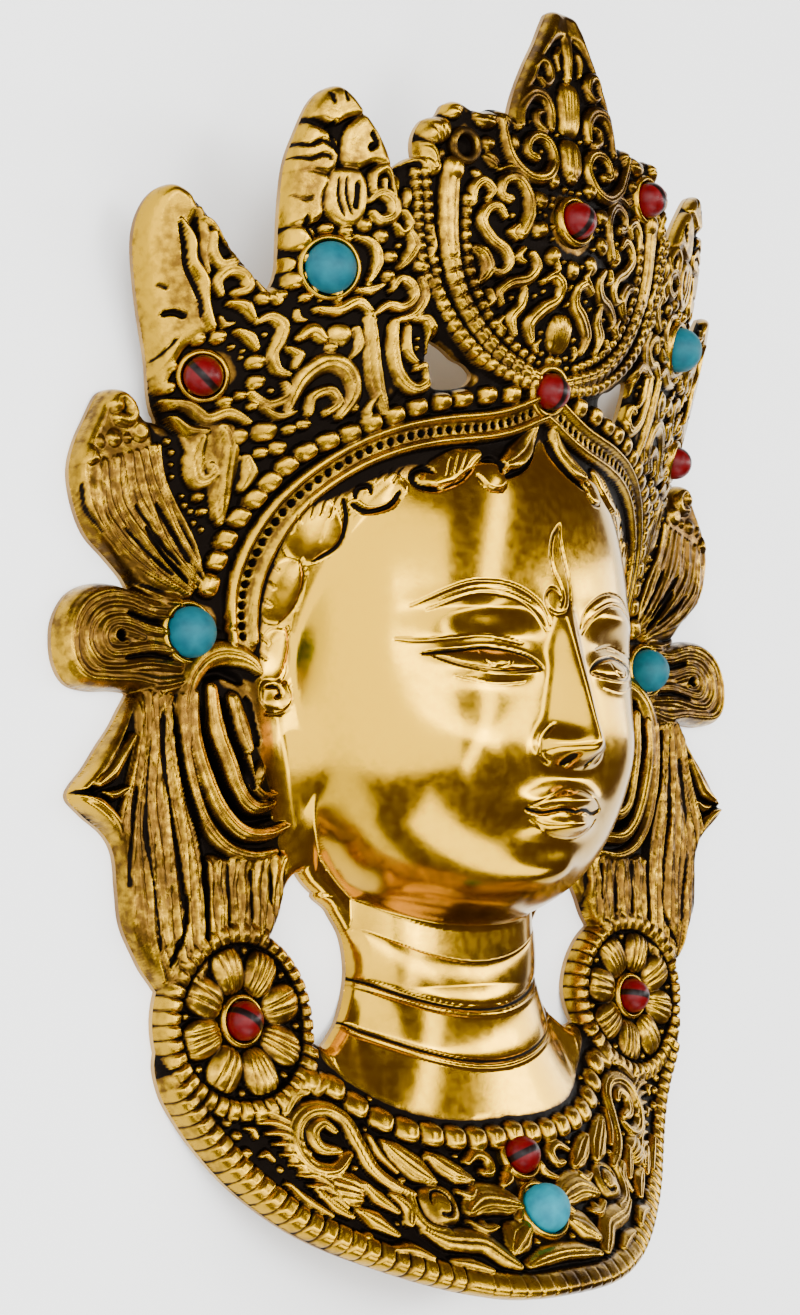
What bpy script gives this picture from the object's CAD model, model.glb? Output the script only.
"""Looks of the cast brass deity mask: finely carved casting, cups, stones, floor, lights and camera.

The plan is laid out in layout units, measured from the ear line on the middle axis.  Only its right half
is laid out: the left half is the mirror image, apart from the curl on the forehead and the lost stone.
"""
from math import asin, atan2, cos, degrees, pi, radians, sin, sqrt

import bpy
import numpy as np
from mathutils import Matrix, Vector
from mathutils.geometry import delaunay_2d_cdt


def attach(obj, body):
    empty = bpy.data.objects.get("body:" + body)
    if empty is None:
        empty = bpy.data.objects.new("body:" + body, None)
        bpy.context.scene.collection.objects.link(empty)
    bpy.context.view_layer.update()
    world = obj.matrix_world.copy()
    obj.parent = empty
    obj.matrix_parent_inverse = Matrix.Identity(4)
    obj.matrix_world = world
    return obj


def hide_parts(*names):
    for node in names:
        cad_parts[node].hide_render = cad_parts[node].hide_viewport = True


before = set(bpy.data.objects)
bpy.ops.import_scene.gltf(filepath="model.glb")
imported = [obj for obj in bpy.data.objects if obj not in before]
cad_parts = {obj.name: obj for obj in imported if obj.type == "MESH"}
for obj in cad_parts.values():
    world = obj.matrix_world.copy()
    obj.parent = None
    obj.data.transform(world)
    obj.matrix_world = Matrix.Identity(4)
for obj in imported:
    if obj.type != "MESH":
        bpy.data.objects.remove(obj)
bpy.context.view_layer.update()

# The mask's sizes, in metres, as its solids have them
MASK_HEIGHT = 0.325
WALL = 0.0032
WING_THICKNESS = 0.0038
CARVING_HEIGHT = 0.0026
HEAD_DEPTH = 0.0515
NECK_DEPTH = 0.0175
CROWN_DEPTH = 0.0465
COLLAR_DEPTH = 0.0225
EDGE_ROUNDING = 0.0030
EDGE_LEVEL = 0.45
FLAT_BACK_DROP = 0.0026
TURQUOISE_DIAMETER = 0.0125
RED_DIAMETER = 0.0095
STONE_GAP = 0.0003
BEZEL_WALL = 0.0013
BEZEL_HEIGHT = 0.0020
SEAT_DEPTH = 0.0005
SEAT_FLOOR = 0.0015
STONE_RISE = 0.0020

# Layout units of the plan
LAYOUT_HEIGHT = 325.0
UNIT = MASK_HEIGHT / LAYOUT_HEIGHT
CROWN_TOP = 165.3
COLLAR_BOTTOM = CROWN_TOP - LAYOUT_HEIGHT
MIDDLE_Y = (CROWN_TOP + COLLAR_BOTTOM) / 2
HALF_WIDTH = 124
CARVING_LAYOUT_HEIGHT = 2.6

# Proportions of the face: three equal thirds from hairline to chin
FACE_THIRD = 37.0
CHIN_Y = -66.0
NOSE_BASE_Y = CHIN_Y + FACE_THIRD
BROW_Y = NOSE_BASE_Y + FACE_THIRD
MOUTH_Y = NOSE_BASE_Y - FACE_THIRD / 3
HEAD_HALF_WIDTH = 57.0
EYE_X = HEAD_HALF_WIDTH * 0.40
EYE_Y = BROW_Y - 0.30 * FACE_THIRD

# Fineness of the surfaces, in layout units
FINE_STEP = 0.37
BACK_STEP = 2.4
SEED = 11


def spline(points, closed=True, steps=6):
    """A Catmull-Rom curve through the points."""
    points = np.asarray(points, float)
    padded = np.pad(points, ((1, 2 if closed else 1), (0, 0)), mode="wrap" if closed else "edge")
    a, b, c, d = (padded[k:len(padded) - 3 + k, None] for k in range(4))
    t = (np.arange(steps) / steps)[:, None]
    curve = 0.5 * (2 * b + (c - a) * t + (2 * a - 5 * b + 4 * c - d) * t * t
                   + (3 * b - a - 3 * c + d) * t ** 3)
    curve = curve.reshape(-1, 2)
    return curve if closed else np.vstack([curve, points[-1:]])


def joined_spline(points, closed, steps):
    """The same curve, with its first point again at its end where it is closed."""
    path = spline(points, closed, steps)
    return np.vstack([path, path[:1]]) if closed else path


def offset_path(points, offset, steps=8):
    """An open curve moved sideways."""
    path = spline(points, False, steps)
    direction = np.gradient(path, axis=0)
    normal = np.stack([-direction[:, 1], direction[:, 0]], 1) / np.hypot(*direction.T)[:, None]
    return path + offset * normal


def path_lengths(path):
    return np.r_[0, np.cumsum(np.hypot(*np.diff(path, axis=0).T))]


def place_along(path, lengths, at):
    return np.interp(at, lengths, path[:, 0]), np.interp(at, lengths, path[:, 1])


def round_place(centre, radius, angle):
    """The place on a circle at an angle in degrees."""
    return centre[0] + radius * cos(radians(angle)), centre[1] + radius * sin(radians(angle))


def segment_distance(x, y, start, end):
    """Distance from the points to one segment, and how far along it the nearest place is, 0 to 1."""
    dx, dy = end - start
    length = dx * dx + dy * dy + 1e-12
    t = np.clip(((x - start[0]) * dx + (y - start[1]) * dy) / length, 0, 1)
    return np.hypot(x - start[0] - t * dx, y - start[1] - t * dy), t


def signed_distance(x, y, loop, reach=6.0):
    """Distance to a closed loop, negative inside, held at +reach far outside it."""
    result = np.full(x.shape, reach)
    low, high = loop.min(0) - reach, loop.max(0) + reach
    near = (x > low[0]) & (x < high[0]) & (y > low[1]) & (y < high[1])
    px, py = x[near], y[near]
    distance = np.full(px.shape, 1e9)
    inside = np.zeros(px.shape, bool)
    for start, end in zip(loop, np.roll(loop, -1, 0)):
        distance = np.minimum(distance, segment_distance(px, py, start, end)[0])
        if start[1] != end[1]:
            crosses = (start[1] > py) != (end[1] > py)
            at = start[0] + (py - start[1]) * (end[0] - start[0]) / (end[1] - start[1])
            inside ^= crosses & (px < at)
    result[near] = np.where(inside, -distance, np.minimum(distance, reach))
    return result


# Outlines of the parts that make up the silhouette, and of the hole and the smooth skin in it
OUTLINES = {
    "outer_leaf": [(84, 57), (93.5, 55), (98, 70), (102, 84), (104.6, 97), (103.6, 105), (100.3, 108.6),
        (96.3, 107), (91, 101.5), (85.5, 93.5), (80, 87.5), (74, 80), (74, 66)],
    "inner_leaf": [(74.6, 78), (75, 90), (76.3, 103), (76.6, 114), (75, 122), (72.4, 129.7),
        (68.5, 133.3), (64.5, 131.8), (60, 127), (55.5, 121), (52, 113), (46, 95), (50, 78)],
    "middle_leaf": [(-4, 164.9), (0, 165.3), (4, 164.6), (6.3, 161.5), (9.7, 155), (13.5, 148.5),
        (17, 141), (19, 134.5), (20, 128), (20, 114), (0, 108), (-20, 128), (-9.7, 155)],
    "arch_end": [(44.5, 116), (47, 122.5), (45, 128), (41, 130), (39.2, 133), (35.5, 134.2), (30, 132.6),
        (25, 134.3), (19.5, 133), (16, 124), (22, 112), (35, 110)],
    "crown_body": [(-6, 54), (-6, 124), (20, 124), (44, 119.5), (49.5, 117.5), (52.5, 113), (58, 96),
        (76, 85.6), (86, 78), (93, 60), (93.5, 54.5), (88, 45), (85, 30), (84, 13), (72, 3), (50, 2),
        (40, 36), (20, 50)],
    "side_leaf": [(93, 53.5), (97.5, 55), (101, 59.5), (104.5, 61.3), (108.2, 60), (111.6, 54), (115, 47),
        (116.6, 40), (115.2, 32), (112, 25.5), (106.7, 20.8), (102, 16.5), (97, 11), (84, 8), (80, 30),
        (85, 48)],
    "ribbon_knot": [(122.2, 0), (121.2, 5.5), (117.6, 10.8), (112, 13.7), (106, 14.1), (100.5, 13),
        (94, 11.5), (82, 14), (76, 4), (84, -14), (97, -12), (104, -11.2), (112, -11.5), (118, -10.3),
        (121.3, -6)],
    "hanging_ribbon": [(97, -8), (102, -14), (105.5, -19.5), (109.5, -24.5), (113.2, -29.5),
        (118.4, -35.9), (114.6, -40.4), (108.2, -45), (105.2, -50), (104.4, -58), (103.4, -66),
        (100, -73), (96, -79), (88, -86), (74, -82), (66, -50), (66, -12), (80, 2)],
    "ear_and_hair": [(44, 8), (66, 8), (82, 0), (84, -40), (82, -75), (68, -78), (59, -68.5),
        (55.5, -61.5), (52.5, -56.5), (49, -54.3), (44, -55), (34, -40)],
    "head": [(-40, 40), (0, 58), (40, 44), (56, 18), (59, -12), (55, -38), (49, -53.5), (42, -60.5),
        (30, -69), (0, -72), (-30, -69), (-57, -10)],
    "neck": [(-6, -58), (40.5, -58.8), (38.5, -64), (34.5, -70), (33, -76.5), (33.2, -82), (34.8, -87),
        (38, -92), (43, -96.5), (47, -100), (40, -112), (0, -124), (-6, -100)],
    "collar": [(-6, -112), (20, -114), (40, -104), (45, -97.8), (50, -96), (72, -92), (90, -92),
        (94.3, -98), (92.8, -106), (88.5, -113.5), (83.8, -120.5), (77, -129.5), (68.5, -138),
        (60.3, -143.8), (50, -149), (40, -153.3), (30, -156.6), (20, -158.8), (10, -159.6), (0, -159.7),
        (-6, -159.6)],
}
CROWN_HOLE = [(37.8, 75.4), (33.5, 74.4), (29.5, 71.9), (26, 70.7), (23.6, 68.3), (25.4, 65.7),
    (31, 64.3), (35, 64.8), (36.9, 68.5)]
SKIN = [(-6, 51), (0, 54), (3, 51.4), (7, 47.8), (13, 44.8), (17, 47), (21, 48), (27, 48), (33, 45),
    (37, 42.4), (41, 43), (47, 40.6), (52, 37.4), (58, 35.4), (63, 31), (64.6, 24), (65.4, 14), (65, 6),
    (64.6, 0), (65.6, -8), (66.4, -13), (66, -20), (65.4, -26), (63, -31), (62, -37), (59.6, -43),
    (56.6, -50), (53, -58), (46, -66), (40, -74), (40, -84), (44, -92), (47, -99.6), (42, -106),
    (34, -111.6), (25, -115), (15, -117), (0, -117.6), (-6, -117.6)]
ROSETTE_CENTRE = (71.5, -90.0)
ROSETTE_RADIUS = 23.3


def outline_distance(x, y):
    """Signed distance to the mask's whole silhouette, negative in the metal."""
    result = np.hypot(x - ROSETTE_CENTRE[0], y - ROSETTE_CENTRE[1]) - ROSETTE_RADIUS
    for points in OUTLINES.values():
        result = np.minimum(result, signed_distance(x, y, spline(points)))
    return np.maximum(result, -signed_distance(x, y, spline(CROWN_HOLE)))


def smooth_max(a, b, blend):
    return 0.5 * (a + b + np.sqrt((a - b) ** 2 + blend ** 2))


def bump(x, y, centre, radii, height):
    """A soft round swelling."""
    q = ((x - centre[0]) / radii[0]) ** 2 + ((y - centre[1]) / radii[1]) ** 2
    return height * np.exp(-1.6 * q)


def head_form(x, y):
    """The plain egg of the head, before the features."""
    middle, upper, lower = 5.0, 73.0, 75.0
    u = np.clip(np.where(y > middle, (y - middle) / upper, (middle - y) / lower), 0, 1)
    fullness = np.where(y > middle, 3.0, 4.2)
    depth = HEAD_DEPTH / UNIT * (1 - u ** fullness) ** 0.45
    width = HEAD_HALF_WIDTH * (1 - u ** 2.5) ** 0.42 + 0.01
    across = np.clip(x / width, 0, 1)
    return depth * np.sqrt(1 - across ** 2.3)


def face_features(x, y):
    """Brow, lids, nose, lips and chin, set out on the thirds of the face."""
    run = np.clip((BROW_Y + 2 - y) / (BROW_Y + 2 - NOSE_BASE_Y), 0, 1)
    ridge = (2.0 + 11.0 * run ** 1.25) * np.exp(-(x / (4.2 + 3.8 * run)) ** 2 * 1.5)
    end = 1 / (1 + np.exp(-(y - NOSE_BASE_Y - 0.8) / 0.75))
    start = 1 / (1 + np.exp((y - BROW_Y - 4) / 2.5))
    z = ridge * end * start + bump(x, y, (7.6, NOSE_BASE_Y + 4.0), (4.2, 4.4), 4.4) * end
    for centre, radii, height in (((EYE_X, EYE_Y + 3.0), (15, 8), -3.2),
                                  ((EYE_X, EYE_Y - 1.0), (12.5, 5.2), 3.6),
                                  ((EYE_X + 2, BROW_Y + 1.0), (16, 4.2), 1.5),
                                  ((0, MOUTH_Y + 3.0), (12.5, 2.9), 3.4),
                                  ((0, MOUTH_Y - 3.4), (10.5, 3.2), 4.2), ((0, MOUTH_Y), (16.0, 8.0), 2.6),
                                  ((0, CHIN_Y + 9.5), (13.0, 8.0), 5.4),
                                  ((HEAD_HALF_WIDTH * 0.56, NOSE_BASE_Y + 4), (17, 15), 1.8)):
        z += bump(x, y, centre, radii, height)
    return z


def crown_form(x, y):
    """The crown stands up from the side wings as a curved tiara that leans forward."""
    v = y - 62.0
    bow = 0.0042 * x ** 2
    lean = 0.24 * v - 0.0012 * v ** 2 + 0.0009 * v * x + 0.000009 * v * x ** 2
    return CROWN_DEPTH / UNIT - bow + lean + bump(x, y, (0, 103), (24, 24), 4.5)


def neck_form(x, y):
    """A round neck that flares towards the collar."""
    flare = np.clip((-84.0 - y) / 30.0, 0, 1.3)
    half_width = 33.5 + 16.0 * flare ** 1.6
    depth = NECK_DEPTH / UNIT + 6.5 * flare
    inside = np.sqrt(np.clip(1 - (x / half_width) ** 2, 0, 1))
    return np.where((y < -40) & (y > -130), depth * inside, 0)


def collar_form(x, y):
    """The collar flares forward towards its lower rim."""
    side = np.clip(1 - (x / 96.0) ** 2, 0, 1)
    return (COLLAR_DEPTH / UNIT + 0.62 * (-120.0 - y)) * side


def base_form(x, y):
    """Front of the sheet without its carving, in layout units above the resting plane."""
    z = np.full(x.shape, WING_THICKNESS / UNIT)
    z = np.maximum(z, smooth_max(z, crown_form(x, y), 5.0))
    z = smooth_max(z, collar_form(x, y), 4.0)
    z = smooth_max(z, neck_form(x, y), 2.0)
    z = z + bump(x, y, (66, -24), (13, 24), 5.0)
    head = head_form(x, y)
    return np.where(head > 0, smooth_max(z, head, 2.0), z)


def sheet_form(x, y):
    """Front of the sheet with the face modelled on it, mirrored to both sides."""
    x = np.abs(x)
    return base_form(x, y) + face_features(x, y)


def back_form(x, y):
    """Back of the sheet: one wall thickness behind the front everywhere, flat on the resting plane."""
    wall = WALL / UNIT
    lowest = sheet_form(x, y) - wall
    for share in (0.5, 0.97):
        for i in range(8):
            dx, dy = share * wall * cos(pi * i / 4), share * wall * sin(pi * i / 4)
            lowest = np.minimum(lowest, sheet_form(x + dx, y + dy) - wall * sqrt(1 - share ** 2))
    settled = lowest - FLAT_BACK_DROP / UNIT * np.exp(-np.clip(lowest, 0, None) / 6)
    return np.maximum(settled, 0)


class Carving:
    """Carved forms over the sheet on a fine grid: at each point the highest form wins."""

    LEAST_RISE = 0.05
    LINE_DEPTH = 0.42

    def __init__(self, x, y):
        self.x, self.y = x, y
        self.z = np.zeros(x.shape)
        self.cut = np.zeros(x.shape)

    def window(self, low, high):
        """The part of the grid between two corners."""
        columns = np.searchsorted(self.x[0], (low[0], high[0]))
        rows = np.searchsorted(self.y[:, 0], (low[1], high[1]))
        return slice(*rows), slice(*columns)

    def trace(self, path, radii):
        """Nearest place on a path: roundness 0 to 1, side -1 to 1 and length along, in its window."""
        reach = max(radii)
        whole = self.window(path.min(0) - reach, path.max(0) + reach)
        best, side, along = np.zeros((3, *self.x[whole].shape))
        run = 0.0
        for i, (start, end) in enumerate(zip(path, path[1:])):
            small = self.window(np.minimum(start, end) - reach, np.maximum(start, end) + reach)
            local = tuple(slice(a.start - b.start, a.stop - b.start) for a, b in zip(small, whole))
            x, y = self.x[small], self.y[small]
            distance, t = segment_distance(x, y, start, end)
            radius = radii[i] + (radii[i + 1] - radii[i]) * t
            length = float(np.hypot(*(end - start)))
            turn = (end[0] - start[0]) * (y - start[1]) - (end[1] - start[1]) * (x - start[0])
            roundness = 1 - (distance / radius) ** 2
            better = roundness > best[local]
            for field, value in ((best, roundness), (side, np.sign(turn) * distance / radius),
                                 (along, run + t * length)):
                field[local] = np.where(better, value, field[local])
            run += length
        return whole, best, side, along

    def raise_to(self, window, inside, form):
        """Lifts the ground to a form inside its outline."""
        form = np.where(inside, np.maximum(form, self.LEAST_RISE), 0)
        self.z[window] = np.maximum(self.z[window], form)

    def sink_to(self, window, depth):
        self.cut[window] = np.maximum(self.cut[window], depth)

    def strand(self, points, width, height, end_width=None, closed=False, steps=6, lines=0, pitch=0.0,
               groove=LINE_DEPTH, flat=2.0):
        """A rounded ridge along a curve, with incised lines along it and notches across it."""
        path = joined_spline(points, closed, steps)
        share = np.linspace(0, 1, len(path))
        radii = width + ((width if end_width is None else end_width) - width) * share
        window, best, side, along = self.trace(path, radii)
        form = height * np.clip(best, 0, 1) ** (1 / flat)
        for i in range(lines):
            offset = -1 + 2 * (i + 1) / (lines + 1)
            form -= groove * np.exp(-((side - offset) * width / 0.34) ** 2) * (best > 0.12)
        if pitch:
            gap = np.abs(along / pitch - np.round(along / pitch)) * pitch
            form -= 1.5 * groove * np.exp(-(gap / 0.38) ** 2)
        self.raise_to(window, best > 0, form)

    def leaf(self, points, widths, height=2.4, lines=0, steps=7):
        """A rounded ridge whose half width is given at each of its points."""
        path = spline(points, False, steps)
        radii = np.interp(np.linspace(0, len(widths) - 1, len(path)), range(len(widths)), widths)
        window, best, side, _ = self.trace(path, np.maximum(radii, 0.3))
        form = height * np.sqrt(np.clip(best, 0, 1))
        for i in range(lines):
            offset = -1 + 2 * (i + 1) / (lines + 1)
            form -= self.LINE_DEPTH * np.exp(-((side - offset) * max(widths) / 0.36) ** 2) * (best > 0.15)
        self.raise_to(window, best > 0, form)

    def leaves(self, height, rows, width_share=1.0):
        """Ridges of one height, each with its points, half widths and number of lines."""
        for points, widths, lines in rows:
            self.leaf(points, [width_share * width for width in widths], height, lines)

    def sheaf(self, first, last, count, height=2.1, fill=0.62, sway=0.0, lines=0):
        """Locks or folds lying side by side between two guide curves."""
        span = np.linspace(0, 1, 25)
        first, last = (np.stack(place_along(guide, np.linspace(0, 1, len(guide)), span), 1)
                       for guide in (spline(first, False, 6), spline(last, False, 6)))
        spaces = max(count - 1, 1)
        gap = np.hypot(*(last - first).T) / spaces
        for i in range(count):
            wave = sway * np.sin(2 * pi * (1.3 * span + 0.37 * i)) / np.maximum(gap * spaces, 1)
            place = first + (last - first) * (i / spaces + wave)[:, None]
            widths = np.maximum(gap * fill * (1 + 0.22 * sin(2.4 * i)), 0.5)
            own_height = height * (1 + 0.10 * sin(1.9 * i))
            self.leaf(place[::2], widths[::2], own_height, lines if i % 2 else 0, steps=3)

    def boss(self, centre, radii, height, turn=0.0, fullness=2.0, streaks=0, dimple=0.0):
        """A round or oval knob, which may have streaks along it; turn is in degrees."""
        radii = (radii, radii) if np.isscalar(radii) else radii
        reach = max(radii)
        window = self.window(np.array(centre) - reach, np.array(centre) + reach)
        dx, dy = self.x[window] - centre[0], self.y[window] - centre[1]
        c, s = cos(radians(turn)), sin(radians(turn))
        along, across = c * dx + s * dy, c * dy - s * dx
        q = (np.abs(along) / radii[0]) ** fullness + (np.abs(across) / radii[1]) ** fullness
        form = height * np.sqrt(np.clip(1 - q, 0, 1))
        for i in range(streaks):
            offset = radii[1] * (-1 + 2 * (i + 1) / (streaks + 1))
            bend = offset * (0.45 + 0.55 * np.clip((along / radii[0] + 1) / 2, 0, 1))
            form -= self.LINE_DEPTH * np.exp(-((across - bend) / 0.36) ** 2) * (q < 0.9)
        if dimple:
            form -= dimple * np.exp(-(q / 0.12))
        self.raise_to(window, q < 1, form)

    def bosses(self, height, fullness, rows):
        """Knobs of one height, each with its place and its two radii."""
        for x, y, along, across in rows:
            self.boss((x, y), (along, across), height, fullness=fullness)

    def plate(self, points, height, edge=2.0, grow=0.0):
        """A flat-topped form with rounded edges, grown a little beyond its points."""
        loop = spline(points)
        window = self.window(loop.min(0) - 1 - grow, loop.max(0) + 1 + grow)
        distance = signed_distance(self.x[window], self.y[window], loop, 1.0) - grow
        rise = np.clip(-distance / edge, 0, 1)
        self.z[window] = np.maximum(self.z[window], height * np.sqrt(1 - (1 - rise) ** 2))

    def bead_row(self, points, spacing, start_radius, end_radius, height, fullness=2.4, offset=0.0,
                 first=0.0, last=1.0):
        """Beads along a curve or beside it."""
        path = offset_path(points, offset)
        lengths = path_lengths(path)
        count = max(2, int(round(lengths[-1] * (last - first) / spacing)) + 1)
        for i in range(count):
            share = first + (last - first) * i / (count - 1)
            at = lengths[-1] * share
            place, before, after = (place_along(path, lengths, at + step) for step in (0, -0.5, 0.5))
            turn = degrees(atan2(after[1] - before[1], after[0] - before[0]))
            self.boss(place, start_radius + (end_radius - start_radius) * share, height, turn, fullness)

    def incise(self, points, width, depth, closed=False, taper=0.12):
        """A line engraved into whatever is there, thinner towards its ends."""
        path = joined_spline(points, closed, 8)
        share = np.linspace(0, 1, len(path))
        ends = np.clip(np.minimum(share, 1 - share) / max(taper, 1e-3), 0, 1)
        radii = width * (0.45 + 0.55 * (np.ones(len(path)) if closed else ends)) + 1e-3
        window, best, _, _ = self.trace(path, radii)
        self.sink_to(window, depth * best)

    def engrave(self, rows):
        """Engraved lines, each with its points, width and depth."""
        for points, width, depth in rows:
            self.incise(points, width, depth)

    def pit(self, centre, radius, depth):
        """A drilled hole."""
        window = self.window(np.array(centre) - 2 * radius, np.array(centre) + 2 * radius)
        r = np.hypot(self.x[window] - centre[0], self.y[window] - centre[1]) / radius
        self.sink_to(window, depth / (1 + np.exp((r - 1) * 9)))


# Curves that ornaments follow, and the locks of hair: centre, radii, turn and height
COLLAR_BEADS = [(0, -121.3), (8.9, -122), (17.8, -120.8), (25.4, -118.8), (32.6, -116.3), (38.6, -112.8),
    (44.2, -108.6), (48.3, -104.6)]
RIM = [(91, -104), (86.5, -111.5), (81, -119), (74.2, -127.5), (66, -135.8), (58.5, -140.8), (49, -146.1),
    (39, -150.4), (29.2, -153.7), (19.5, -155.8), (10, -156.7), (0, -156.8)]
FINE_BAND = [(69.4, 2), (70.4, 12), (69.8, 21), (67.2, 30), (63, 37), (57, 43), (49.6, 48), (40.4, 51.8),
    (30, 54.2), (20, 55.8), (12, 58), (5, 61), (0, 63)]
HAIR_LOBES = (((58.2, 29.2), (8.2, 6.6), 62, 0.9), ((61.3, 14.6), (7.8, 4.3), 97, 0.8),
              ((61.2, -0.6), (6.6, 3.4), 99, 0.8), ((60.6, -10.8), (4.4, 4), 10, 0.8),
              ((44.8, 38.4), (6.4, 3.8), -32, 1), ((19.2, 43.2), (3.9, 3.7), 0, 1))

# Where the stones sit
STONES = {
    "ear_turquoise": (85.0, 3.6),
    "outer_leaf_red": (87.4, 64.6),
    "inner_leaf_turquoise": (65.0, 90.4),
    "arch_end_red": (34.2, 123.0),
    "rosette_red": ROSETTE_CENTRE,
    "forehead_stone": (0.0, 108.9),
    "diadem_stone": (0.0, 67.0),
    "collar_red": (0.0, -127.6),
    "collar_turquoise": (0.0, -140.6),
}


def carve_middle_leaf(c):
    c.plate([(-5, 165), (0, 166), (4.6, 165), (7.2, 161), (10.6, 155), (14.4, 148.5), (18, 141),
        (20, 134), (18.4, 131.4), (16.6, 136), (14.6, 140.4), (12, 144), (9.8, 149.4), (6.6, 153.6),
        (3.6, 156.4), (0, 157), (-4, 156)], 2.2, 2.2)
    c.leaf([(0, 147), (0.2, 152), (0, 158)], [1.3, 1.7, 2.4], 2.2)
    c.leaf([(3.6, 154), (4.6, 151.6), (4, 148.4)], [1, 1.2, 0.7], 2)
    c.leaf([(12.8, 147.4), (10.6, 149.4), (7.9, 148.5), (7.2, 145.4), (9.2, 143.4), (11.2, 144.4)],
        [0.8, 1.6, 1.8, 1.7, 1.4, 0.9])
    c.leaf([(18.2, 131.4), (17.6, 136), (14.2, 139.8), (9.8, 140), (7.2, 136.8), (7.2, 132.2)],
        [2, 2.3, 2.2, 2.2, 2.1, 1.4], 2.6, lines=1)
    c.leaf([(9.4, 131.2), (11.8, 132.8), (11.9, 135.2), (9.8, 136)], [1.7, 1.7, 1.4, 0.9], 2.2)
    c.leaf([(24, 131), (23, 127), (20.4, 121.6), (15, 118.2), (9.4, 119.2), (6.4, 123.8), (8, 128),
        (12, 129.2), (15.2, 127.2), (15.6, 124.2), (13, 123.4)],
        [1, 1.6, 1.9, 2, 2, 1.9, 1.8, 1.7, 1.5, 1.5, 1.7], 2.8, lines=1)
    c.boss((0, 138.6), (7.6, 4.3), 2.9, 90, fullness=3, streaks=5)
    c.boss((0, 125.4), (5.8, 4.2), 3.3, 90, fullness=2.6, streaks=1)
    c.boss((18.9, 126.4), (2.4, 1.7), 1.8, 80)


def carve_arch(c):
    outer = [(46.4, 114.6), (45, 108), (43.7, 100), (41.4, 92.5), (37.8, 85.5), (33, 79.5), (27, 74.5),
        (20, 70.8), (12, 68.4), (6, 67.5)]
    c.strand(outer, 2.9, 0.9, 2.1, flat=4)
    c.bead_row(outer, 2.55, 1.45, 1.35, 2.4, offset=1.35, last=0.36, fullness=2.8)
    c.bead_row(outer, 2.55, 1.45, 1.35, 2.4, offset=-1.35, last=0.36, fullness=2.8)
    c.bead_row(outer, 3, 2.1, 1.7, 2.5, first=0.39, fullness=3.2)
    c.strand([(38, 115), (37.9, 108), (37.3, 101), (36.2, 96)], 2.9, 2.7, 2.9, lines=2, flat=2.8)
    c.strand([(36.8, 98.6), (34.3, 91), (30.1, 83.9), (24.4, 77.9), (17.5, 73.5), (10, 70.8), (5, 69.4)],
        2.8, 2.6, 2, lines=1, pitch=3.3, flat=3)
    inner = [(33, 110), (32.6, 102), (30.7, 94), (27, 87), (21.8, 81), (15, 76.6), (8.4, 73.8)]
    c.strand(inner, 1.7, 0.6, 1.4, flat=4)
    c.bead_row(inner, 3, 1.6, 1.35, 2.2, fullness=3)
    c.leaf([(51.6, 116.6), (49.2, 119.2), (45.4, 119.6), (43.4, 116.4)], [1, 2.6, 3.2, 2.6], 3, lines=3)
    c.boss((37.6, 116.6), (3.4, 3.3), 3.2, 90, fullness=2.5)
    c.pit((34.2, 123), 2.5, 1.7)
    c.boss((42.6, 125.6), (3.8, 4.4), 3, 60, streaks=2)
    c.boss((38.4, 131.6), (3, 2.8), 2.6, 20, streaks=1)
    c.boss((41.4, 119.6), (2, 1.4), 1.8, 120)
    c.boss((28.8, 130.6), (4, 2.8), 2.6, 0, streaks=1)
    c.boss((23.4, 131.2), (3, 2.6), 2.4, 30, streaks=1)
    c.boss((27.6, 124.6), (2.4, 2), 2)
    c.boss((26.2, 120.6), (3, 2), 2, 30, streaks=1)
    c.boss((30.4, 116.6), (2, 1.5), 1.8, 20)


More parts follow.
